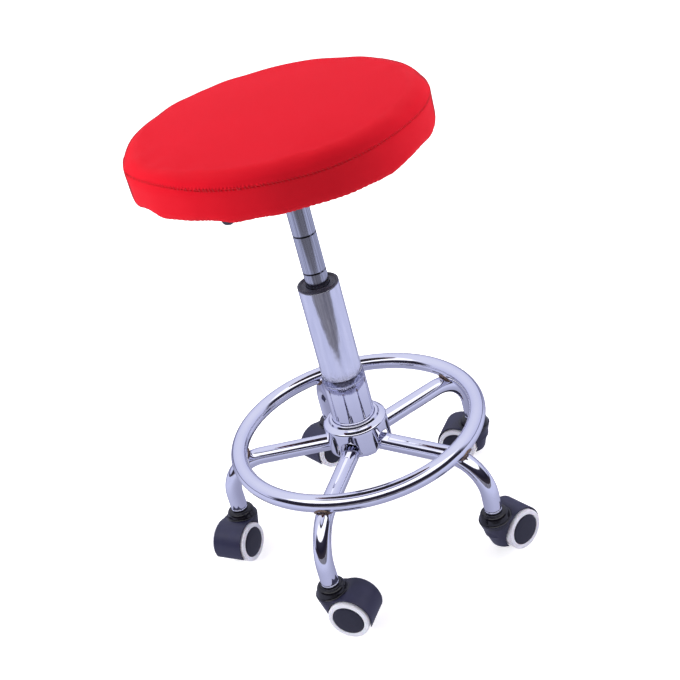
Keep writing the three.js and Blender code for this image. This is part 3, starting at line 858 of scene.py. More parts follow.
def sewn_in(step, sewing, tight, tension):
    """How far the seam and its stitches lift the skin, at a step above the seam."""
    groove = SEAM["depth"] * np.exp(-((step / 0.45) ** 2)) * (0.8 + 0.35 * sewing) * tight
    side = SEAM["puff"] if step > 0 else SEAM["puff"] * 0.3
    gathered = 0.3 + 0.7 * near_to(LOOSE)
    puff = side * np.exp(-(((abs(step) - 1.7) / 1.1) ** 2)) * (tension + gathered * sewing)
    return puff - groove


def read_between(edge, tilt):
    """The edge's readings at a tilt of its own for each column."""
    place = (math.pi / 2 - tilt) / math.pi * EDGE_STEPS
    before = np.clip(np.floor(place).astype(int), 0, EDGE_STEPS - 1)
    part = place - before
    columns = np.arange(COLUMNS)
    return edge[columns, before] * (1 - part) + edge[columns, before + 1] * part


def cover_rows():
    """Rows of points round the cover from the middle of its top to its hem, and the numbers of seam rows."""
    edge, top = pad_skin()
    arm = SEAT_RADIUS - SPINE_R
    seam_z = seam_height()
    arc = ANGLES * SEAT_RADIUS
    sewing = np.sin(arc * TAU / SEAM["pitch"] + 2.2 * wander(5, 6, 4, 40)(ANGLES))
    tension = 0.65 + 0.35 * wander(8, 6, 3, 30)(ANGLES)
    pull = HEM["pull"] * wander(21, 9, 5, 26)(ANGLES)
    pleats = np.abs(np.sin(ANGLES * HEM["pleats"] / 2 + 1.8 * wander(12, 7, 6, 60)(ANGLES))) - 0.6
    slack = HEM["slack"] * wander(33, 7, 2, 15)(ANGLES)
    scallop = HEM["scallop"] * wander(47, 6, 9, 24)(ANGLES)
    lever_deg = math.degrees(LEVER_ANGLE)
    sag = near_to(SAG)
    bulge = sum(place["out"] * near_to(place) for place in BULGES)
    snag = SNAG["lift"] * bell(ANGLES, lever_deg, SNAG["width"])
    snag = snag - SNAG["fall"] * bell(ANGLES, lever_deg + SNAG["beside"], SNAG["width"] / 2)
    tight = 0.5 + 0.5 * near_to(LOOSE, 2)
    for place in SEAM_FADES:
        tight = tight - place["share"] * near_to(place)
    rows = [(np.full(COLUMNS, SPINE_R * k / TOP_RINGS), top[:, k]) for k in range(TOP_RINGS + 1)]
    seam_rows = {}
    for tilt, step in tilt_rows(np.arctan2(seam_z - SPINE_Z, arm), arm):
        distance = read_between(edge, tilt)
        if step is not None:
            distance = distance + sewn_in(step, sewing, tight, tension)
        z = SPINE_Z + distance * np.sin(tilt)
        below = np.clip((seam_z - z) / 30, 0, 1)
        low_down = np.clip((SEAT_BOTTOM + 12 - z) / 12, 0, 1)
        distance = distance + pull * below + slack * low_down + HEM["depth"] * pleats * low_down**2
        out = (SAG["spread"] * sag * below + bulge) * np.clip(np.cos(tilt) * 1.5, 0, 1)
        down = np.clip((seam_z - z) / 32, 0, 1)
        fall = (SAG["drop"] * sag - snag + scallop) * down**2 * (3 - 2 * down)
        seam_rows[step] = len(rows)
        rows.append((SPINE_R + out + distance * np.cos(tilt), SPINE_Z - fall + distance * np.sin(tilt)))
    return rows + hem_rows(*rows[-1], pleats), seam_rows


def hem_rows(last_r, last_z, pleats):
    """The gathered hem, rolled inwards round its elastic."""
    radius = HEM["radius"] + 0.25 * pleats
    rows = []
    for turn_deg in (-30, -60, -90, -120, -150, -180, -215, -250):
        turn = math.radians(turn_deg)
        r = last_r - 1.4 + radius * math.cos(turn) + 0.4 * pleats
        rows.append((r, last_z + radius * math.sin(turn)))
    return rows


def build_cover():
    rows, seam_rows = cover_rows()
    cosines, sines = np.cos(ANGLES), np.sin(ANGLES)
    stacked = [np.stack([r * cosines, r * sines, np.broadcast_to(z, r.shape)], axis=1) for r, z in rows]
    points = [[Vector(p) for p in row] for row in stacked]
    cover = piece("cushion_cover", grid(points, closed=False), sharp_deg=80)
    inwards = -1.0 if cover.data.polygons[0].normal.z > 0 else 1.0
    modify(cover, "SOLIDIFY", thickness=SEAT["cloth"] * MM, offset=inwards, use_even_offset=False)
    bake(cover)
    smooth(cover, 80)
    show(cover, "seat", FABRIC, "seat_cover")
    build_stitches(stacked, seam_rows)


def build_stitches(stacked, seam_rows):
    """Overlock loops that cross the seam, slanting a little."""
    upper, middle, lower = (stacked[seam_rows[step]] for step in (STITCH_STEP, 0, -STITCH_STEP))
    count = round(TAU * SEAT_RADIUS / SEAM["pitch"])
    source = random.Random(17)
    loops = []
    for k in range(count):
        place = int((k + source.uniform(-0.16, 0.16)) / count * COLUMNS) % COLUMNS
        lean = (place + 2) % COLUMNS
        outward = Vector((middle[place][0], middle[place][1], 0)).normalized()
        top, bottom = Vector(upper[place]), Vector(lower[lean])
        path = [top - outward * 0.25, top.lerp(bottom, 0.25) + outward * 0.22]
        path += [top.lerp(bottom, 0.6) + outward * 0.18, bottom - outward * 0.25]
        loose = float(bell(TAU * k / count, LOOSE["at"], LOOSE["width"]))
        thick = SEAM["thread"] + (LOOSE["thread"] - SEAM["thread"]) * loose
        loops.append(swept(path, [0.6 * thick, thick, thick, 0.6 * thick], 5))
    show(piece("cushion_stitches", *loops), "seat", THREAD)


def build_foam_and_board():
    inset = SEAT["cloth"] + FOAM_GAP
    board_bottom, board_top = span("seat_board")
    board_radius = (high("seat_board").x - low("seat_board").x) / 2
    bottom, top = board_top + 0.4, SEAT_TOP - inset
    radius = SEAT_RADIUS - inset
    outline = [[0, bottom], [radius, bottom, 3], [radius, top, SEAT["shoulder"] - 2], [0, top]]
    show(piece("foam_pad", turned(outline, steps=10)), "seat", FOAM, "seat_foam")
    disc = rod(board_radius, board_bottom, board_top, 128, 1.2)
    drill = rod(BOLT["board_hole"], board_bottom - 1, board_top + 1, 24)
    holes = [moved(drill, at_mm(*bolt_place(number))) for number in BOLTS]
    show(worked("plywood_board", disc, *cuts(*holes)), "seat", PLYWOOD, "seat_board")


# ---------- under the seat ----------
BOLTS = range(1, 5)


def bolt_place(number):
    middle = centre(f"plate_bolt_{number}")
    return middle.x, middle.y, 0


def mount_base(plate_bottom, plate_top):
    half, corner = PLATE["half"], PLATE["corner"]
    corners = [[x * half, y * half, corner] for x, y in ((-1, -1), (1, -1), (1, 1), (-1, 1))]
    plate = prism(rounded(corners, 8), plate_bottom, plate_top)
    drill = rod(BOLT["plate_hole"], plate_bottom - 1, plate_top + 1, 24)
    places = [turn_z(-LEVER_ANGLE) @ Vector(bolt_place(number)) for number in BOLTS]
    holes = [moved(drill, at_mm(*place)) for place in places]
    return worked("mount_base", plate, *cuts(*holes), finish=[bevel(0.6, 2)])


def mount_housing(plate_bottom):
    """The folded box under the plate that holds the lever's pivot, open where the lever comes out."""
    inner, outer, side = HOUSING["inner"], HOUSING["outer"], HOUSING["half"]
    wall, bottom = HOUSING["wall"], HOUSING["bottom"]
    shell = box_part((inner, -side, bottom), (outer, side, plate_bottom + 0.5))
    room = box_part((inner + wall, -side + wall, bottom + wall), (outer + 5, side - wall, plate_bottom))
    pin_drill = across_y(rod(LEVER["pin_hole"], -side - 5, side + 5, 24))
    pin_hole = moved(pin_drill, at_mm(LEVER["pivot"], 0, LEVER["rise"]))
    socket_room = rod(SOCKET["bore"] + 1, bottom - 5, bottom + wall + 1, 48)
    return worked("mount_housing", shell, *cuts(room, pin_hole, socket_room), finish=[bevel(1.0, 3)])


def build_mount():
    """The plate, the housing and the lift's socket, made with the lever along +X and then turned to it."""
    plate_top = high("mount_plate").z
    plate_bottom = plate_top - PLATE["thickness"]
    bore, radius, bottom, top = (SOCKET[key] for key in ("bore", "radius", "bottom", "top"))
    socket = [[bore, bottom, 0.6], [radius, bottom, 1.2], [radius, top, 0.8], [bore, top, 0.6]]
    base = mount_base(plate_bottom, plate_top)
    housing = mount_housing(plate_bottom)
    for obj in (base, housing, piece("mount_socket", turned(socket, 64))):
        obj.data.transform(turn_z(LEVER_ANGLE))
        show(obj, "seat", BLACK_STEEL, *(["mount_plate"] if obj is base else []))


def build_bolts():
    for number in BOLTS:
        middle = centre(f"plate_bolt_{number}")
        bottom, top = span(f"plate_bolt_{number}")
        seat_z = bottom + BOLT["height"]
        shank, wide, across = BOLT["shank"], BOLT["flange"], BOLT["across"]
        ridges = range(int((top - seat_z) * 2) - 2)
        thread = [[shank - (0.35 if k % 2 else 0), seat_z + 0.5 + 0.5 * k] for k in ridges]
        screw = [[0, seat_z - 0.5], [shank, seat_z - 0.5], *thread, [shank - 0.8, top], [0, top]]
        flange = [[0, seat_z - 1.1], [wide, seat_z - 1.1, 0.5], [wide, seat_z, 0.2], [0, seat_z]]
        hexagon = [(across * math.cos(turn), across * math.sin(turn)) for turn in around(6)]
        head = prism(hexagon, seat_z - BOLT["height"], seat_z - 0.8)
        bolt = piece(f"bolt_{number}", turned(screw, 24), turned(flange, 48), head, sharp_deg=25)
        bolt.data.transform(placed(at_mm(middle.x, middle.y, 0)))
        show(bolt, "seat", ZINC, f"plate_bolt_{number}")


def bent_path(corners, steps=8):
    """A path in the XZ plane through [x, z, fillet] corners."""
    return [Vector((p.x, 0, p.y)) for p in rounded(corners, steps, closed=False)]


def build_lever_rod():
    rise, drop = LEVER["rise"], LEVER["drop"]
    thick, bend = LEVER_ROD["radius"], LEVER_ROD["bend"]
    straight_in, straight_out = [LEVER_ROD["inner"], rise], [LEVER_ROD["outer"], drop]
    bends = [[LEVER_ROD["bend_starts"], rise, bend], [LEVER_ROD["bend_ends"], drop, bend]]
    path = bent_path([straight_in, *bends, straight_out])
    start, end = path[0], path[-1]
    ends_in = [start, start + Vector((0.15, 0, 0)), start + Vector((0.8, 0, 0))]
    ends_out = [end - Vector((0.8, 0, 0)), end - Vector((0.15, 0, 0)), end]
    points = [*ends_in, *path[1:-1], *ends_out]
    radii = [thick - 0.8, thick - 0.2, *[thick] * (len(points) - 4), thick - 0.2, thick - 0.8]
    side = HOUSING["half"] + 2
    pin = moved(across_y(rod(LEVER["pin"], -side, side, 32, 0.5)), at_mm(LEVER["pivot"], 0, rise))
    lever = piece("lever_bar", swept(points, radii, 28), pin)
    lever.data.transform(turn_z(LEVER_ANGLE))
    show(lever, "lever", ZINC, "lever_rod")


def build_lever_knob():
    radius, start_x, end_x = KNOB["radius"], KNOB["start"], KNOB["end"]
    length = end_x - start_x
    ribs = []
    for k in range(KNOB["ribs"]):
        at, crest = 8 + 4 * k, radius * (0.88 + 0.012 * k)
        ribs += [[crest, at, 0.5], [crest - 0.5, at + 1.2, 0.5], [crest - 0.5, at + 2, 0.5]]
    outline = [
        [KNOB["bore"], 0, 0.4],
        [radius * 0.62, 0, 1.0],
        [radius * 0.84, 4, 1.5],
        *ribs,
        [radius, length - 6, 3.0],
        [radius * 0.62, length, 2.5],
        [0, length],
    ]
    bore_end = LEVER_ROD["outer"] - start_x + 0.4
    knob_part = [[0, bore_end], [KNOB["bore"], bore_end], *outline]
    along_x = at_mm(start_x, 0, LEVER["drop"]) @ Matrix.Rotation(math.pi / 2, 4, "Y")
    knob = piece("lever_grip", moved(turned(knob_part, 64), along_x))
    knob.data.transform(turn_z(LEVER_ANGLE))
    show(knob, "lever", COLLAR, "lever_knob")


# ---------- gas lift ----------
def build_pressure_tube():
    bottom, top = span("pressure_tube")
    radius, bore = TUBE["radius"], TUBE["bore"]
    half, floor = TUBE["groove_half"], TUBE["radius"] - TUBE["groove"]
    grooves = []
    for z in TUBE_GROOVES:
        grooves += [[radius, z - half, 0.2], [floor, z - half * 0.5]]
        grooves += [[floor, z + half * 0.5], [radius, z + half, 0.2]]
    tube = [
        [TUBE["rod_hole"], bottom],
        [radius, bottom, 1.2],
        *grooves,
        [radius, top - 6, 0.5],
        [radius - 0.3, top, 1.0],
        [TUBE["button_hole"], top],
        [TUBE["button_hole"], top - TUBE["roof"]],
        [bore, top - TUBE["roof"]],
        [bore, bottom + TUBE["gland"]],
        [TUBE["rod_hole"], bottom + TUBE["gland"]],
    ]
    show(piece("lift_pressure_tube", turned(tube, 96)), "seat", GROUND_STEEL, "pressure_tube")


def build_release_button():
    bottom, top = span("release_button")
    pin, head, under_head = BUTTON["pin"], BUTTON["head"], top - BUTTON["head_height"]
    outline = [[0, bottom], [pin, bottom, 0.6], [pin, under_head, 0.3]]
    outline += [[head, under_head, 0.4], [head, top, 1.2], [0, top]]
    show(piece("lift_button", turned(outline, 48)), "valve_button", ZINC, "release_button")


def build_piston_rod():
    bottom, top = span("piston_rod")
    clip_low, clip_high = span("retaining_clip")
    shoulder = high("thrust_bearing").z + 0.3
    radius, collar, neck = PISTON_ROD["radius"], PISTON_ROD["collar"], PISTON_ROD["clip_groove"]
    piston, ring = PISTON_ROD["piston"], PISTON_ROD["ring"]
    rod_outline = [
        [0, bottom],
        [radius, bottom, 1.0],
        [radius, clip_low - 0.3],
        [neck, clip_low - 0.3],
        [neck, clip_high + 0.3],
        [radius, clip_high + 0.3],
        [radius, shoulder],
        [collar, shoulder, 0.3],
        [collar, shoulder + 2, 0.5],
        [radius, shoulder + 2, 0.5],
        [radius, top - 13, 0.5],
        [piston, top - 13, 1.0],
        [piston, top - 8, 0.4],
        [ring, top - 7.4],
        [ring, top - 5.6],
        [piston, top - 5, 0.4],
        [piston, top, 1.0],
        [0, top],
    ]
    show(piece("lift_rod_and_piston", turned(rod_outline, 64)), "lift_rod", CHROME, "piston_rod")


def build_retaining_clip():
    """An open ring, slimmer towards its ends."""
    bottom, top = span("retaining_clip")
    bore, radius, mouth = CLIP["bore"], CLIP["radius"], math.radians(CLIP["mouth_deg"])
    steps = 56
    vertices = []
    for k in range(steps + 1):
        angle = mouth + (TAU - 2 * mouth) * k / steps
        rim = radius - CLIP["taper"] * (1 - abs(2 * k / steps - 1))
        for r, z in ((bore, bottom), (rim, bottom), (rim, top), (bore, top)):
            vertices.append(Vector((r * math.cos(angle), r * math.sin(angle), z)))
    faces = []
    for k in range(0, 4 * steps, 4):
        faces += [(k + i, k + (i + 1) % 4, k + 4 + (i + 1) % 4, k + 4 + i) for i in range(4)]
    faces += [(0, 1, 2, 3), tuple(4 * steps + i for i in range(4))]
    show(piece("lift_clip", (vertices, faces)), "lift_rod", ZINC, "retaining_clip")


def build_column():
    bottom, top = span("column_tube")
    outer, bore, rod_hole = COLUMN["radius"], COLUMN["bore"], COLUMN["rod_hole"]
    floor = bottom + COLUMN["floor"]
    outline = [[rod_hole, bottom], [outer, bottom, 1.5], [outer, top, 1.4], [bore, top, 0.2]]
    outline += [[bore, floor], [rod_hole, floor]]
    show(piece("lift_column", turned(outline, 128)), "base", COLUMN_CHROME, "column_tube")


def build_guide_bushing():
    bottom, top = span("guide_bushing")
    column_top = high("column_tube").z
    outer, bore, body = COLUMN["radius"], BUSHING["bore"], BUSHING["body"]
    collar = [
        [bore, bottom],
        [body, bottom],
        [body, column_top + 0.3],
        [outer, column_top + 0.3, 0.3],
        [outer, top, 1.3],
        [outer - 2.6, top, 0.8],
        [outer - 4.4, top - 1.8, 1.0],
        [bore + 2.2, top - BUSHING["dish"], 0.8],
        [bore, top - BUSHING["dish"] - 0.4, 0.3],
    ]
    show(piece("lift_collar", turned(collar, 128)), "base", COLLAR, "guide_bushing")


def build_thrust_bearing():
    bottom, top = span("thrust_bearing")
    bore, radius, waist = THRUST_BEARING["bore"], THRUST_BEARING["radius"], THRUST_BEARING["waist"]
    outline = [[bore, bottom], [radius, bottom, 0.4], [radius, bottom + 1.4, 0.2], [waist, bottom + 1.7]]
    outline += [[waist, top - 1.7], [radius, top - 1.4, 0.2], [radius, top, 0.4], [bore, top]]
    show(piece("lift_bearing", turned(outline, 64)), "base", ZINC, "thrust_bearing")


def build_lift():
    build_pressure_tube()
    build_release_button()
    build_piston_rod()
    build_retaining_clip()
    build_column()
    build_guide_bushing()
    build_thrust_bearing()


# ---------- base ----------
def add_heat(obj, sources):
    """Marks how near each vertex is to a weld."""
    spots = np.array([tuple(p) for p in sources])
    places = vertex_places(obj)
    nearest = np.full(len(places), np.inf)
    for spot in spots:
        nearest = np.minimum(nearest, np.linalg.norm(places - spot, axis=1))
    mark(obj, "heat", np.exp(-((nearest / WELD["heat"]) ** 2)))


def ring_weld_path(count=34):
    """Where the foot ring's tube meets the top of a leg that runs along +X."""
    lift = RING["height"] - LEG["height"]
    widest = math.acos((lift - RING["tube"]) / LEG["radius"]) * 0.998
    path = []
    for side in (1, -1):
        for k in range(count):
            share = -1 + 2 * k / (count - 1)
            turn = side * share * widest
            y, z = LEG["radius"] * math.sin(turn), LEG["radius"] * math.cos(turn)
            out = math.sqrt(max(RING["tube"] ** 2 - (z - lift) ** 2, 0))
            across = math.sqrt((RING["path"] + side * out) ** 2 - y**2)
            path.append(Vector((across, y, LEG["height"] + z)))
    return spaced(path, 84)


def hub_weld_path(count=72):
    """Where a leg along +X meets the socket tube."""
    ring = [(LEG["radius"] * math.sin(t), LEG["height"] + LEG["radius"] * math.cos(t)) for t in around(count)]
    return [Vector((math.sqrt(HUB["radius"] ** 2 - y**2), y, z)) for y, z in ring]


def spaced(path, count):
    """A closed path cut into equal steps."""
    loop = [*path, path[0]]
    lengths = np.cumsum([0, *[(b - a).length for a, b in zip(loop, loop[1:])]])
    wanted = np.linspace(0, lengths[-1], count + 1)[:-1]
    values = [np.interp(wanted, lengths, [p[i] for p in loop]) for i in range(3)]
    return [Vector(p) for p in zip(*values)]


def bead(path, seed):
    """A weld bead, rippled and a little uneven."""
    source = random.Random(seed)
    radii = []
    for k in range(len(path)):
        ripple = WELD["ripple"] * abs(math.sin(math.pi * k / 2.6))
        radii.append(WELD["bead"] - 0.2 + ripple + source.uniform(-0.12, 0.12))
    return swept(path, radii, 12, closed=True)


def leg_part(reach):
    """A leg along +X: from the socket tube out along the spoke, round its bend and down to the caster."""
    height, bend = LEG["height"], LEG["bend_radius"]
    start = reach - bend
    end_z = low("leg_1").z
    spoke = [Vector((x, 0, height)) for x in np.linspace(HUB["radius"] - 0.6, start, 30)]
    arc_turns = [math.pi / 2 * k / 28 for k in range(1, 29)]
    arc = [Vector((start + bend * math.sin(t), 0, height - bend + bend * math.cos(t))) for t in arc_turns]
    drop = [Vector((reach, 0, z)) for z in np.linspace(height - bend, end_z + 1.2, 8)[1:]]
    lip = [Vector((reach, 0, end_z + z)) for z in (0.55, 0.15, 0, 0)]
    radius = LEG["radius"]
    points = [*spoke, *arc, *drop, *lip]
    radii = [radius] * (len(points) - 4) + [radius - 0.12, radius - 0.45, radius - 0.9, LEG["socket"]]
    sides = 40
    vertices, faces = swept(points, radii, sides)
    for vertex in vertices[:sides]:
        vertex.x = math.sqrt(HUB["radius"] ** 2 - vertex.y**2) - 0.4
    return vertices, faces


def skirt_edge(angle):
    """How high the hub cover's edge is: an arch over each spoke, with rounded tabs between."""
    off = min(abs((angle - LEG_ANGLE[k] + math.pi) % TAU - math.pi) for k in CASTERS)
    u = off * COVER["radius"]
    half, corner = ARCH["half"], ARCH["tab_corner"]
    if u < half:
        return ARCH["top"] - half + math.sqrt(half**2 - u**2)
    inside = corner - min(u - half, corner)
    return low("hub_cover").z + corner - math.sqrt(corner**2 - inside**2)


def cover_profile(edge):
    """The hub cover's section for the height of its edge: down its outside and up its inside."""
    top = high("hub_cover").z
    outer, inner = COVER["radius"], COVER["radius"] - COVER["wall"]
    shoulder = top - COVER["rim_drop"]
    crown = rounded(
        [
            [COVER["neck"], top - 3],
            [COVER["neck"], top, 0.9],
            [COVER["lip"], top, 1.6],
            [COVER["lip"] + 1.8, top - 3.4, 1.2],
            [outer - 4.2, shoulder + 1.6, 1.5],
            [outer, shoulder - 0.6, 3.2],
            [outer, shoulder - 6],
        ],
        6,
        closed=False,
    )
    skirt_top = shoulder - 6
    skirt = [(outer, skirt_top + (edge + 0.7 - skirt_top) * k / 7) for k in range(1, 8)]
    lip = [(outer - 0.2, edge + 0.2), (outer - 0.7, edge), (inner + 0.5, edge), (inner, edge + 0.5)]
    wall = [(inner, edge + 0.5 + (skirt_top - edge) * k / 4) for k in range(1, 5)]
    under = [(inner - 0.6, shoulder - 2), (COVER["lip"] - 0.6, top - 5), (COVER["neck"], top - 5)]
    return [*crown, *[Vector(point) for point in (*skirt, *lip, *wall, *under)]]


def build_hub_tube():
    bottom, top = span("hub_socket_tube")
    radius, swage, crimps = HUB["radius"], HUB["swage"], HUB["crimps"]
    drawn = [[radius - HUB["drawn_in"] * t**2, top + swage * (t - 1)] for t in np.linspace(0, 1, 12)]
    inside = [[HUB["bore"] - 0.1, top - 0.1], [HUB["bore"], top - swage]]
    outline = [[HUB["bore"], bottom, 0.3], [radius, bottom, 0.5], *drawn, *inside]
    vertices, faces = turned(outline, 8 * crimps)
    for vertex in vertices:
        share = max(0, 1 - abs(vertex.z - top + swage / 2) / (swage / 2))
        crimp = HUB["crimp"] * share * math.sin(crimps * bearing(vertex))
        vertex.xy *= 1 + crimp / radius
    tube = piece("hub_tube", (vertices, faces))
    add_heat(tube, [turn_z(LEG_ANGLE[k]) @ p for k in CASTERS for p in hub_weld_path(24)])
    show(tube, "base", HUB_CHROME, "hub_socket_tube")


def build_hub_cover():
    turns = around(900)
    profiles = [cover_profile(skirt_edge(turn)) for turn in turns]
    rows = []
    for points in zip(*profiles):
        rows.append([Vector((p.x * math.cos(t), p.x * math.sin(t), p.y)) for p, t in zip(points, turns)])
    show(piece("hub_skirt", grid(rows), sharp_deg=50), "base", CHROME, "hub_cover")


def build_foot_ring():
    loop = circle(RING["path"], RING["height"], 240)
    ring = piece("foot_ring_tube", swept(loop, [RING["tube"]] * len(loop), 40, closed=True))
    add_heat(ring, [turn_z(LEG_ANGLE[k]) @ p for k in CASTERS for p in ring_weld_path()])
    show(ring, "base", CHROME, "foot_ring")


def build_legs():
    heated = [*ring_weld_path(), *hub_weld_path(24)]
    for k in CASTERS:
        leg = piece(f"leg_tube_{k}", leg_part(REACH[k]))
        add_heat(leg, heated)
        welds = piece(f"welds_{k}", bead(ring_weld_path(), 4 + k), bead(hub_weld_path(), 9 + k))
        for obj in (leg, welds):
            obj.matrix_world = turn_z(LEG_ANGLE[k])
        show(leg, "base", CHROME, f"leg_{k}")
        show(welds, "base", WELDED)


# ---------- casters, with the stem on Z and the wheels trailing along +X ----------
def hood_side():
    """The hood seen from its side: round over the wheels, and straight down its front to the lower edge."""
    axle_z, radius, half = WHEEL["radius"], HOOD["radius"], HOOD["half"]
    back, over = math.radians(HOOD_EDGE["back_deg"]), math.radians(HOOD_EDGE["over_deg"])
    turns = [back + (over - back) * k / 60 for k in range(61)]
    outline = [(HOOD_EDGE["front_u"], HOOD_EDGE["bottom"])]
    outline += [(radius * math.cos(t), radius * math.sin(t)) for t in turns]
    outline.append((-TRAIL - half, HOOD_EDGE["shoulder"] - axle_z))
    upright = at_mm(TRAIL, 0, axle_z) @ Matrix.Rotation(math.pi / 2, 4, "X")
    return moved(prism(outline, -half - 5, half + 5), upright)


def hood_footprint():
    """The hood seen from above: straight sides and a round front that leans back as it rises."""
    half, slant = HOOD["half"], HOOD_EDGE["slant"]
    tail = TRAIL + HOOD["radius"] + 5
    front = [math.pi / 2 + math.pi * k / 48 for k in range(49)]
    plan = [(half * math.cos(t), half * math.sin(t)) for t in front]
    lean = Matrix.Identity(4)
    lean[0][2], lean[0][3] = -slant, slant * HOOD_EDGE["shoulder"]
    return moved(prism([*plan, (tail, -half), (tail, half)], 0, BOSS["top"] + 5), lean)


def hood_boss():
    """The round boss over the stem."""
    radius, bottom, top = BOSS["radius"], BOSS["bottom"], BOSS["top"]
    outline = [[0, bottom], [radius - 3, bottom], [radius + 0.4, BOSS["front"] - 2, 8.0]]
    outline += [[radius - 2.4, top - 0.6, 4.5], [STEM["flange"] - 2, top - 0.2], [0, top - 0.2]]
    return turned(outline, 96)


def hood_mesh():
    half, web = HOOD["half"], HOOD["web"]
    at_axle = at_mm(TRAIL, 0, WHEEL["radius"])
    sides = ((web, half + 12), (-half - 12, -web))
    rooms = [moved(across_y(rod(HOOD["cavity"], near, far, 96)), at_axle) for near, far in sides]
    axle_hole = moved(across_y(rod(HOOD["axle_hole"], -9, 9, 32)), at_axle)
    stem_hole = rod(HOOD["stem_hole"], low("caster_1_stem").z - 0.3, BOSS["top"] + 9.9, 32)
    steps = [("INTERSECT", hood_footprint()), ("UNION", hood_boss()), *cuts(*rooms, stem_hole, axle_hole)]
    finish = [
        ("REMESH", {"mode": "VOXEL", "voxel_size": HOOD_SKIN["voxel"] * MM}),
        ("SMOOTH", {"factor": 0.5, "iterations": HOOD_SKIN["smoothing"]}),
    ]
    hood = worked("caster_hood_1", hood_side(), *steps, finish=finish, sharp_deg=70)
    x, y, z = vertex_places(hood).T
    near_stem = np.clip((BOSS["radius"] + 3.5 - np.hypot(x, y)) / 3, 0, 1)
    mark(hood, "polish", near_stem * np.clip((z - BOSS["polish_from"]) / 4, 0, 1))
    return hood


def stem_part():
    """A caster's pin, with its flange and the groove of its grip ring."""
    bottom, top = span("caster_1_stem")
    radius, flange, neck = STEM["radius"], STEM["flange"], STEM["radius"] - STEM["groove"]
    outline = [
        [0, bottom],
        [radius, bottom, 0.8],
        [radius, STEM["flange_bottom"]],
        [flange, STEM["flange_bottom"], 0.5],
        [flange, STEM["flange_top"], 0.9],
        [radius, STEM["flange_top"]],
        [radius, top - 6, 0.3],
        [neck, top - 5.4],
        [neck, top - 3.4],
        [radius, top - 2.8, 0.3],
        [radius, top, 1.4],
        [0, top],
    ]
    return turned(outline, 64)


def core_part():
    """A wheel's core with its domed cap, turned about Y with the cap towards +Y."""
    rim, inner, face, cap = WHEEL["rim"] - 0.25, WHEEL["inner"], WHEEL["face"], WHEEL["cap"]
    outline = [
        [0, WHEEL["bore_end"]],
        [WHEEL["bore"], WHEEL["bore_end"]],
        [WHEEL["bore"], inner - 0.5],
        [6.6, inner - 0.5, 0.4],
        [6.6, inner + 5, 0.6],
        [15.5, inner + 6, 1.2],
        [17, inner, 0.5],
        [rim, inner, 0.3],
        [rim, face - 0.5, 0.5],
        [rim - 1.1, face + 0.35, 0.5],
        [rim - 2.4, cap - 0.75, 0.8],
        [10, cap - 0.12, 20],
        [0, cap],
    ]
    return across_y(turned(outline, 96))


def tyre_part():
    radius, rim, inner, face = WHEEL["radius"], WHEEL["rim"], WHEEL["inner"], WHEEL["face"]
    outline = [
        [rim, inner, 0.3],
        [radius, inner, 1.4],
        [radius, face, 1.3],
        [rim + 3.3, face + 0.15, 0.25],
        [rim + 3.0, face - 0.35, 0.1],
        [rim + 2.7, face + 0.15, 0.25],
        [rim + 1.9, face + 0.15, 0.25],
        [rim + 1.6, face - 0.35, 0.1],
        [rim + 1.3, face + 0.15, 0.25],
        [rim, face, 0.3],
    ]
    return across_y(turned(outline, 128))


def axle_part():
    half = (high("caster_1_axle") - low("caster_1_axle")).to_2d().length / 2
    half = min(half, WHEEL["bore_end"] - 0.5)
    radius, groove = AXLE["radius"], AXLE["groove"]
    outline = [[0, -half], [radius, -half, 0.6], [radius, -half + 2.5, 0.2]]
    outline += [[groove, -half + 2.8], [groove, -half + 3.6], [radius, -half + 3.9, 0.2]]
    outline += [[r, -z, *fillet] for r, z, *fillet in reversed(outline)]
    return across_y(turned(outline, 40))


def build_casters():
    hood = hood_mesh()
    stem = piece("caster_stem_1", stem_part())
    axle = piece("caster_axle_1", axle_part())
    core = piece("wheel_core_1_left", core_part())
    tyre = piece("wheel_tyre_1_left", tyre_part())
    for k in CASTERS:
        body = f"caster_{k}"
        unit = at_mm(LEG_END[k].x, LEG_END[k].y, 0) @ turn_z(TRAIL_ANGLE[k])
        hub = unit @ at_mm(TRAIL, 0, WHEEL["radius"])
        fitted = [
            (hood, f"caster_hood_{k}", unit, body, PLASTIC, f"{body}_hood"),
            (stem, f"caster_stem_{k}", unit, body, CHROME, f"{body}_stem"),
            (axle, f"caster_axle_{k}", hub, body, ZINC, f"{body}_axle"),
        ]
        for side, facing in (("left", 0), ("right", math.pi)):
            wheel = hub @ turn_z(facing)
            axis = f"{body}_{side}_wheel"
            fitted.append((core, f"wheel_core_{k}_{side}", wheel, axis, CAP, f"{body}_wheel_{side}"))
            fitted.append((tyre, f"wheel_tyre_{k}_{side}", wheel, axis, TYRE, f"{body}_tyre_{side}"))
        for source, name, place, rides_on, finish, node in fitted:
            obj = source if source.name == name else copy_of(source, name)
            obj.matrix_world = placed(place)
            show(obj, rides_on, finish, node)


# ---------- floor, light and camera ----------
CAMERA_AT = Vector(CAMERA["at"])
CAMERA_AIM = Vector(CAMERA["aim"])
TOWARDS = Vector((CAMERA_AT.x - CAMERA_AIM.x, CAMERA_AT.y - CAMERA_AIM.y, 0)).normalized()
RIGHTWARDS = Vector((-TOWARDS.y, TOWARDS.x, 0))
SHEET = {"half": 6000, "edge": 0.465, "point": 0.2}


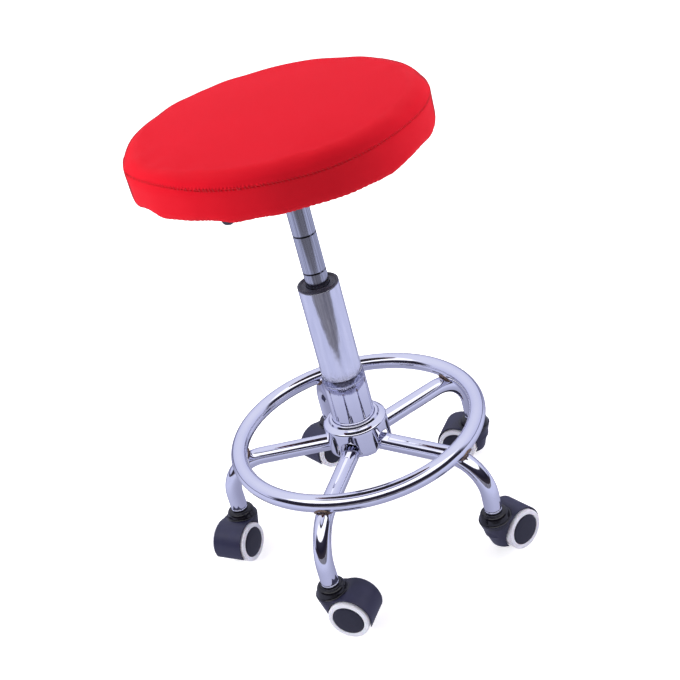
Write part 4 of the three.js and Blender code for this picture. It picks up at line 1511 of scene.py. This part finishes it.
def build_camera():
    data = bpy.data.cameras.new("photo_camera")
    data.lens = CAMERA["lens"]
    data.sensor_width = 36
    data.clip_end = 50
    camera = in_scene("photo_camera", data)
    forward = (CAMERA_AIM - CAMERA_AT).normalized()
    right = forward.cross(Vector((0, 0, 1))).normalized()
    up = right.cross(forward)
    roll = math.radians(CAMERA["roll_deg"])
    tilted_right = math.cos(roll) * right + math.sin(roll) * up
    tilted_up = -math.sin(roll) * right + math.cos(roll) * up
    matrix = Matrix((tilted_right, tilted_up, -forward)).transposed().to_4x4()
    matrix.translation = CAMERA_AT * MM
    camera.matrix_world = matrix
    bpy.context.scene.camera = camera


def dot_with(graph, vector, axis):
    node = graph.add("ShaderNodeVectorMath", {0: vector, 1: tuple(axis)}, operation="DOT_PRODUCT")
    return node.outputs["Value"]


def sheet_in_mirrors(graph, position, distance):
    """What chrome sees below it: a lilac sheet, shaded under the stool, that ends in front of it."""
    ahead, across = dot_with(graph, position, TOWARDS), dot_with(graph, position, RIGHTWARDS)
    pointed = graph.times(graph.math("ABSOLUTE", across), SHEET["point"])
    edge = graph.math("SUBTRACT", ahead, pointed)
    beyond = graph.spread(edge, SHEET["edge"], SHEET["edge"] + 0.1, 0, 1, True)
    streak = graph.noise(graph.math("DIVIDE", across, distance), 7, 2)
    gap = graph.mix(graph.spread(streak, 0.35, 0.65, 0, 1), rgb(106, 105, 118), rgb(150, 149, 158))
    sheet = graph.mix(graph.noise(position, 3, 2), rgb(204, 208, 240), rgb(222, 225, 250))
    shaded = graph.mix(graph.spread(distance, 0.05, 0.5, 0.9, 0, True), sheet, rgb(156, 157, 182))
    incoming = graph.add("ShaderNodeNewGeometry").outputs["Incoming"]
    behind = dot_with(graph, incoming, TOWARDS)
    limb = graph.mix(graph.spread(behind, 0.5, 0.86, 0, 0.75, True), shaded, rgb(112, 112, 146))
    return graph.add("ShaderNodeEmission", {"Color": graph.mix(beyond, limb, gap), "Strength": 1.0})


def build_floor():
    """A pale sheet of paper, which fades to white away from the stool."""
    half = SHEET["half"]
    corners = [(-half, -half, 0), (half, -half, 0), (half, half, 0), (-half, half, 0)]
    floor = piece("floor_sheet", (corners, [(0, 1, 2, 3)]))
    material = bpy.data.materials.new("floor_sheet")
    material.use_nodes = True
    graph = Graph(material.node_tree)
    position = graph.add("ShaderNodeNewGeometry").outputs["Position"]
    path = graph.add("ShaderNodeLightPath").outputs
    distance = graph.add("ShaderNodeVectorMath", {0: position}, operation="LENGTH").outputs["Value"]
    seen = sheet_in_mirrors(graph, position, distance)
    paper = graph.add("ShaderNodeBsdfDiffuse", {"Color": rgb(250, 250, 252)})
    brightness = graph.spread(distance, 0.25, 0.7, 0.55, 1.0, True)
    glow = graph.add("ShaderNodeEmission", {"Color": (1, 1, 1, 1), "Strength": brightness})
    lit = graph.add("ShaderNodeAddShader", {0: paper.outputs[0], 1: glow.outputs[0]})
    plain = graph.either(path["Is Camera Ray"], paper.outputs[0], lit.outputs[0])
    both = graph.either(path["Is Glossy Ray"], plain, seen.outputs[0])
    graph.add("ShaderNodeOutputMaterial", {"Surface": both})
    floor.data.materials.append(material)


def ramp(graph, factor, stops):
    """A colour ramp of (position, colour) stops."""
    node = graph.add("ShaderNodeValToRGB", {"Fac": factor})
    elements = node.color_ramp.elements
    while len(elements) < len(stops):
        elements.new(0.5)
    for element, (position, colour) in zip(elements, stops):
        element.position = position
        element.color = colour
    return node.outputs["Color"]


def build_world():
    """White to the camera, soft and even to cloth, and a lilac studio with dark gaps to mirrors."""
    world = bpy.data.worlds.new("studio")
    bpy.context.scene.world = world
    world.use_nodes = True
    graph = Graph(world.node_tree)
    direction = graph.add("ShaderNodeTexCoord").outputs["Generated"]
    path = graph.add("ShaderNodeLightPath").outputs
    height = graph.parts(direction)["Z"]
    ahead = dot_with(graph, direction, TOWARDS)
    rise = graph.math("DIVIDE", graph.math("ARCSINE", height), math.pi / 2)
    lilac, pale, dark = rgb(206, 209, 240), rgb(232, 234, 252), rgb(34, 32, 46)
    soft = (1.5, 1.5, 1.55, 1.0)
    floor_line = [(0.0, rgb(60, 54, 60)), (0.16, dark), (0.38, rgb(58, 56, 70))]
    overhead = [(0.41, soft), (0.70, soft), (0.73, dark), (0.78, dark), (0.81, lilac), (1.0, pale)]
    front = ramp(graph, rise, floor_line + overhead)
    horizon = [(0.0, rgb(84, 82, 104)), (0.035, rgb(110, 110, 140)), (0.06, lilac)]
    back = ramp(graph, rise, [*horizon, (0.5, pale), (1.0, pale)])
    wobble = graph.times(graph.math("SUBTRACT", graph.noise(direction, 2.2, 2), 0.5), 0.5)
    side = graph.math("SUBTRACT", ahead, wobble)
    mirrored = graph.mix(graph.spread(side, -0.12, 0.12, 0, 1, True), back, front)
    for_mirrors = graph.add("ShaderNodeBackground", {"Color": mirrored, "Strength": 1.0})
    for_cloth = graph.add("ShaderNodeBackground", {"Color": (0.96, 0.96, 1.0, 1.0), "Strength": 0.38})
    for_camera = graph.add("ShaderNodeBackground", {"Color": (1, 1, 1, 1), "Strength": 1.0})
    lit = graph.either(path["Is Glossy Ray"], for_cloth.outputs[0], for_mirrors.outputs[0])
    seen = graph.either(path["Is Camera Ray"], lit, for_camera.outputs[0])
    graph.add("ShaderNodeOutputWorld", {"Surface": seen})


def softbox(name, ahead, right, up, size, watts, colour=(1, 1, 1)):
    """A square soft light, placed in metres from the stool as the camera sees it, and turned to the seat."""
    data = bpy.data.lights.new(name, "AREA")
    data.shape = "SQUARE"
    data.size = size
    data.energy = watts
    data.color = colour
    light = in_scene(name, data)
    light.location = TOWARDS * ahead + RIGHTWARDS * right + Vector((0, 0, up))
    aim = Vector((0, 0, SEAT_TOP * MM * 0.8)) - light.location
    light.rotation_mode = "QUATERNION"
    light.rotation_quaternion = aim.to_track_quat("-Z", "Y")
    light.visible_glossy = False


def build_studio():
    build_floor()
    build_world()
    softbox("softbox_top", ahead=-0.5, right=-0.2, up=1.75, size=1.3, watts=11.8)
    softbox("softbox_left", ahead=0.35, right=-1.35, up=0.9, size=0.9, watts=15)
    cool = (0.97, 0.92, 1.0)
    softbox("softbox_right", ahead=-0.05, right=1.35, up=0.75, size=0.8, watts=11.8, colour=cool)
    build_camera()
    settings = bpy.context.scene.view_settings
    settings.view_transform = "Standard"
    settings.look = "None"


build_cover()
build_foam_and_board()
build_mount()
build_bolts()
build_lever_rod()
build_lever_knob()
build_lift()
build_hub_tube()
build_hub_cover()
build_foot_ring()
build_legs()
build_casters()
build_studio()
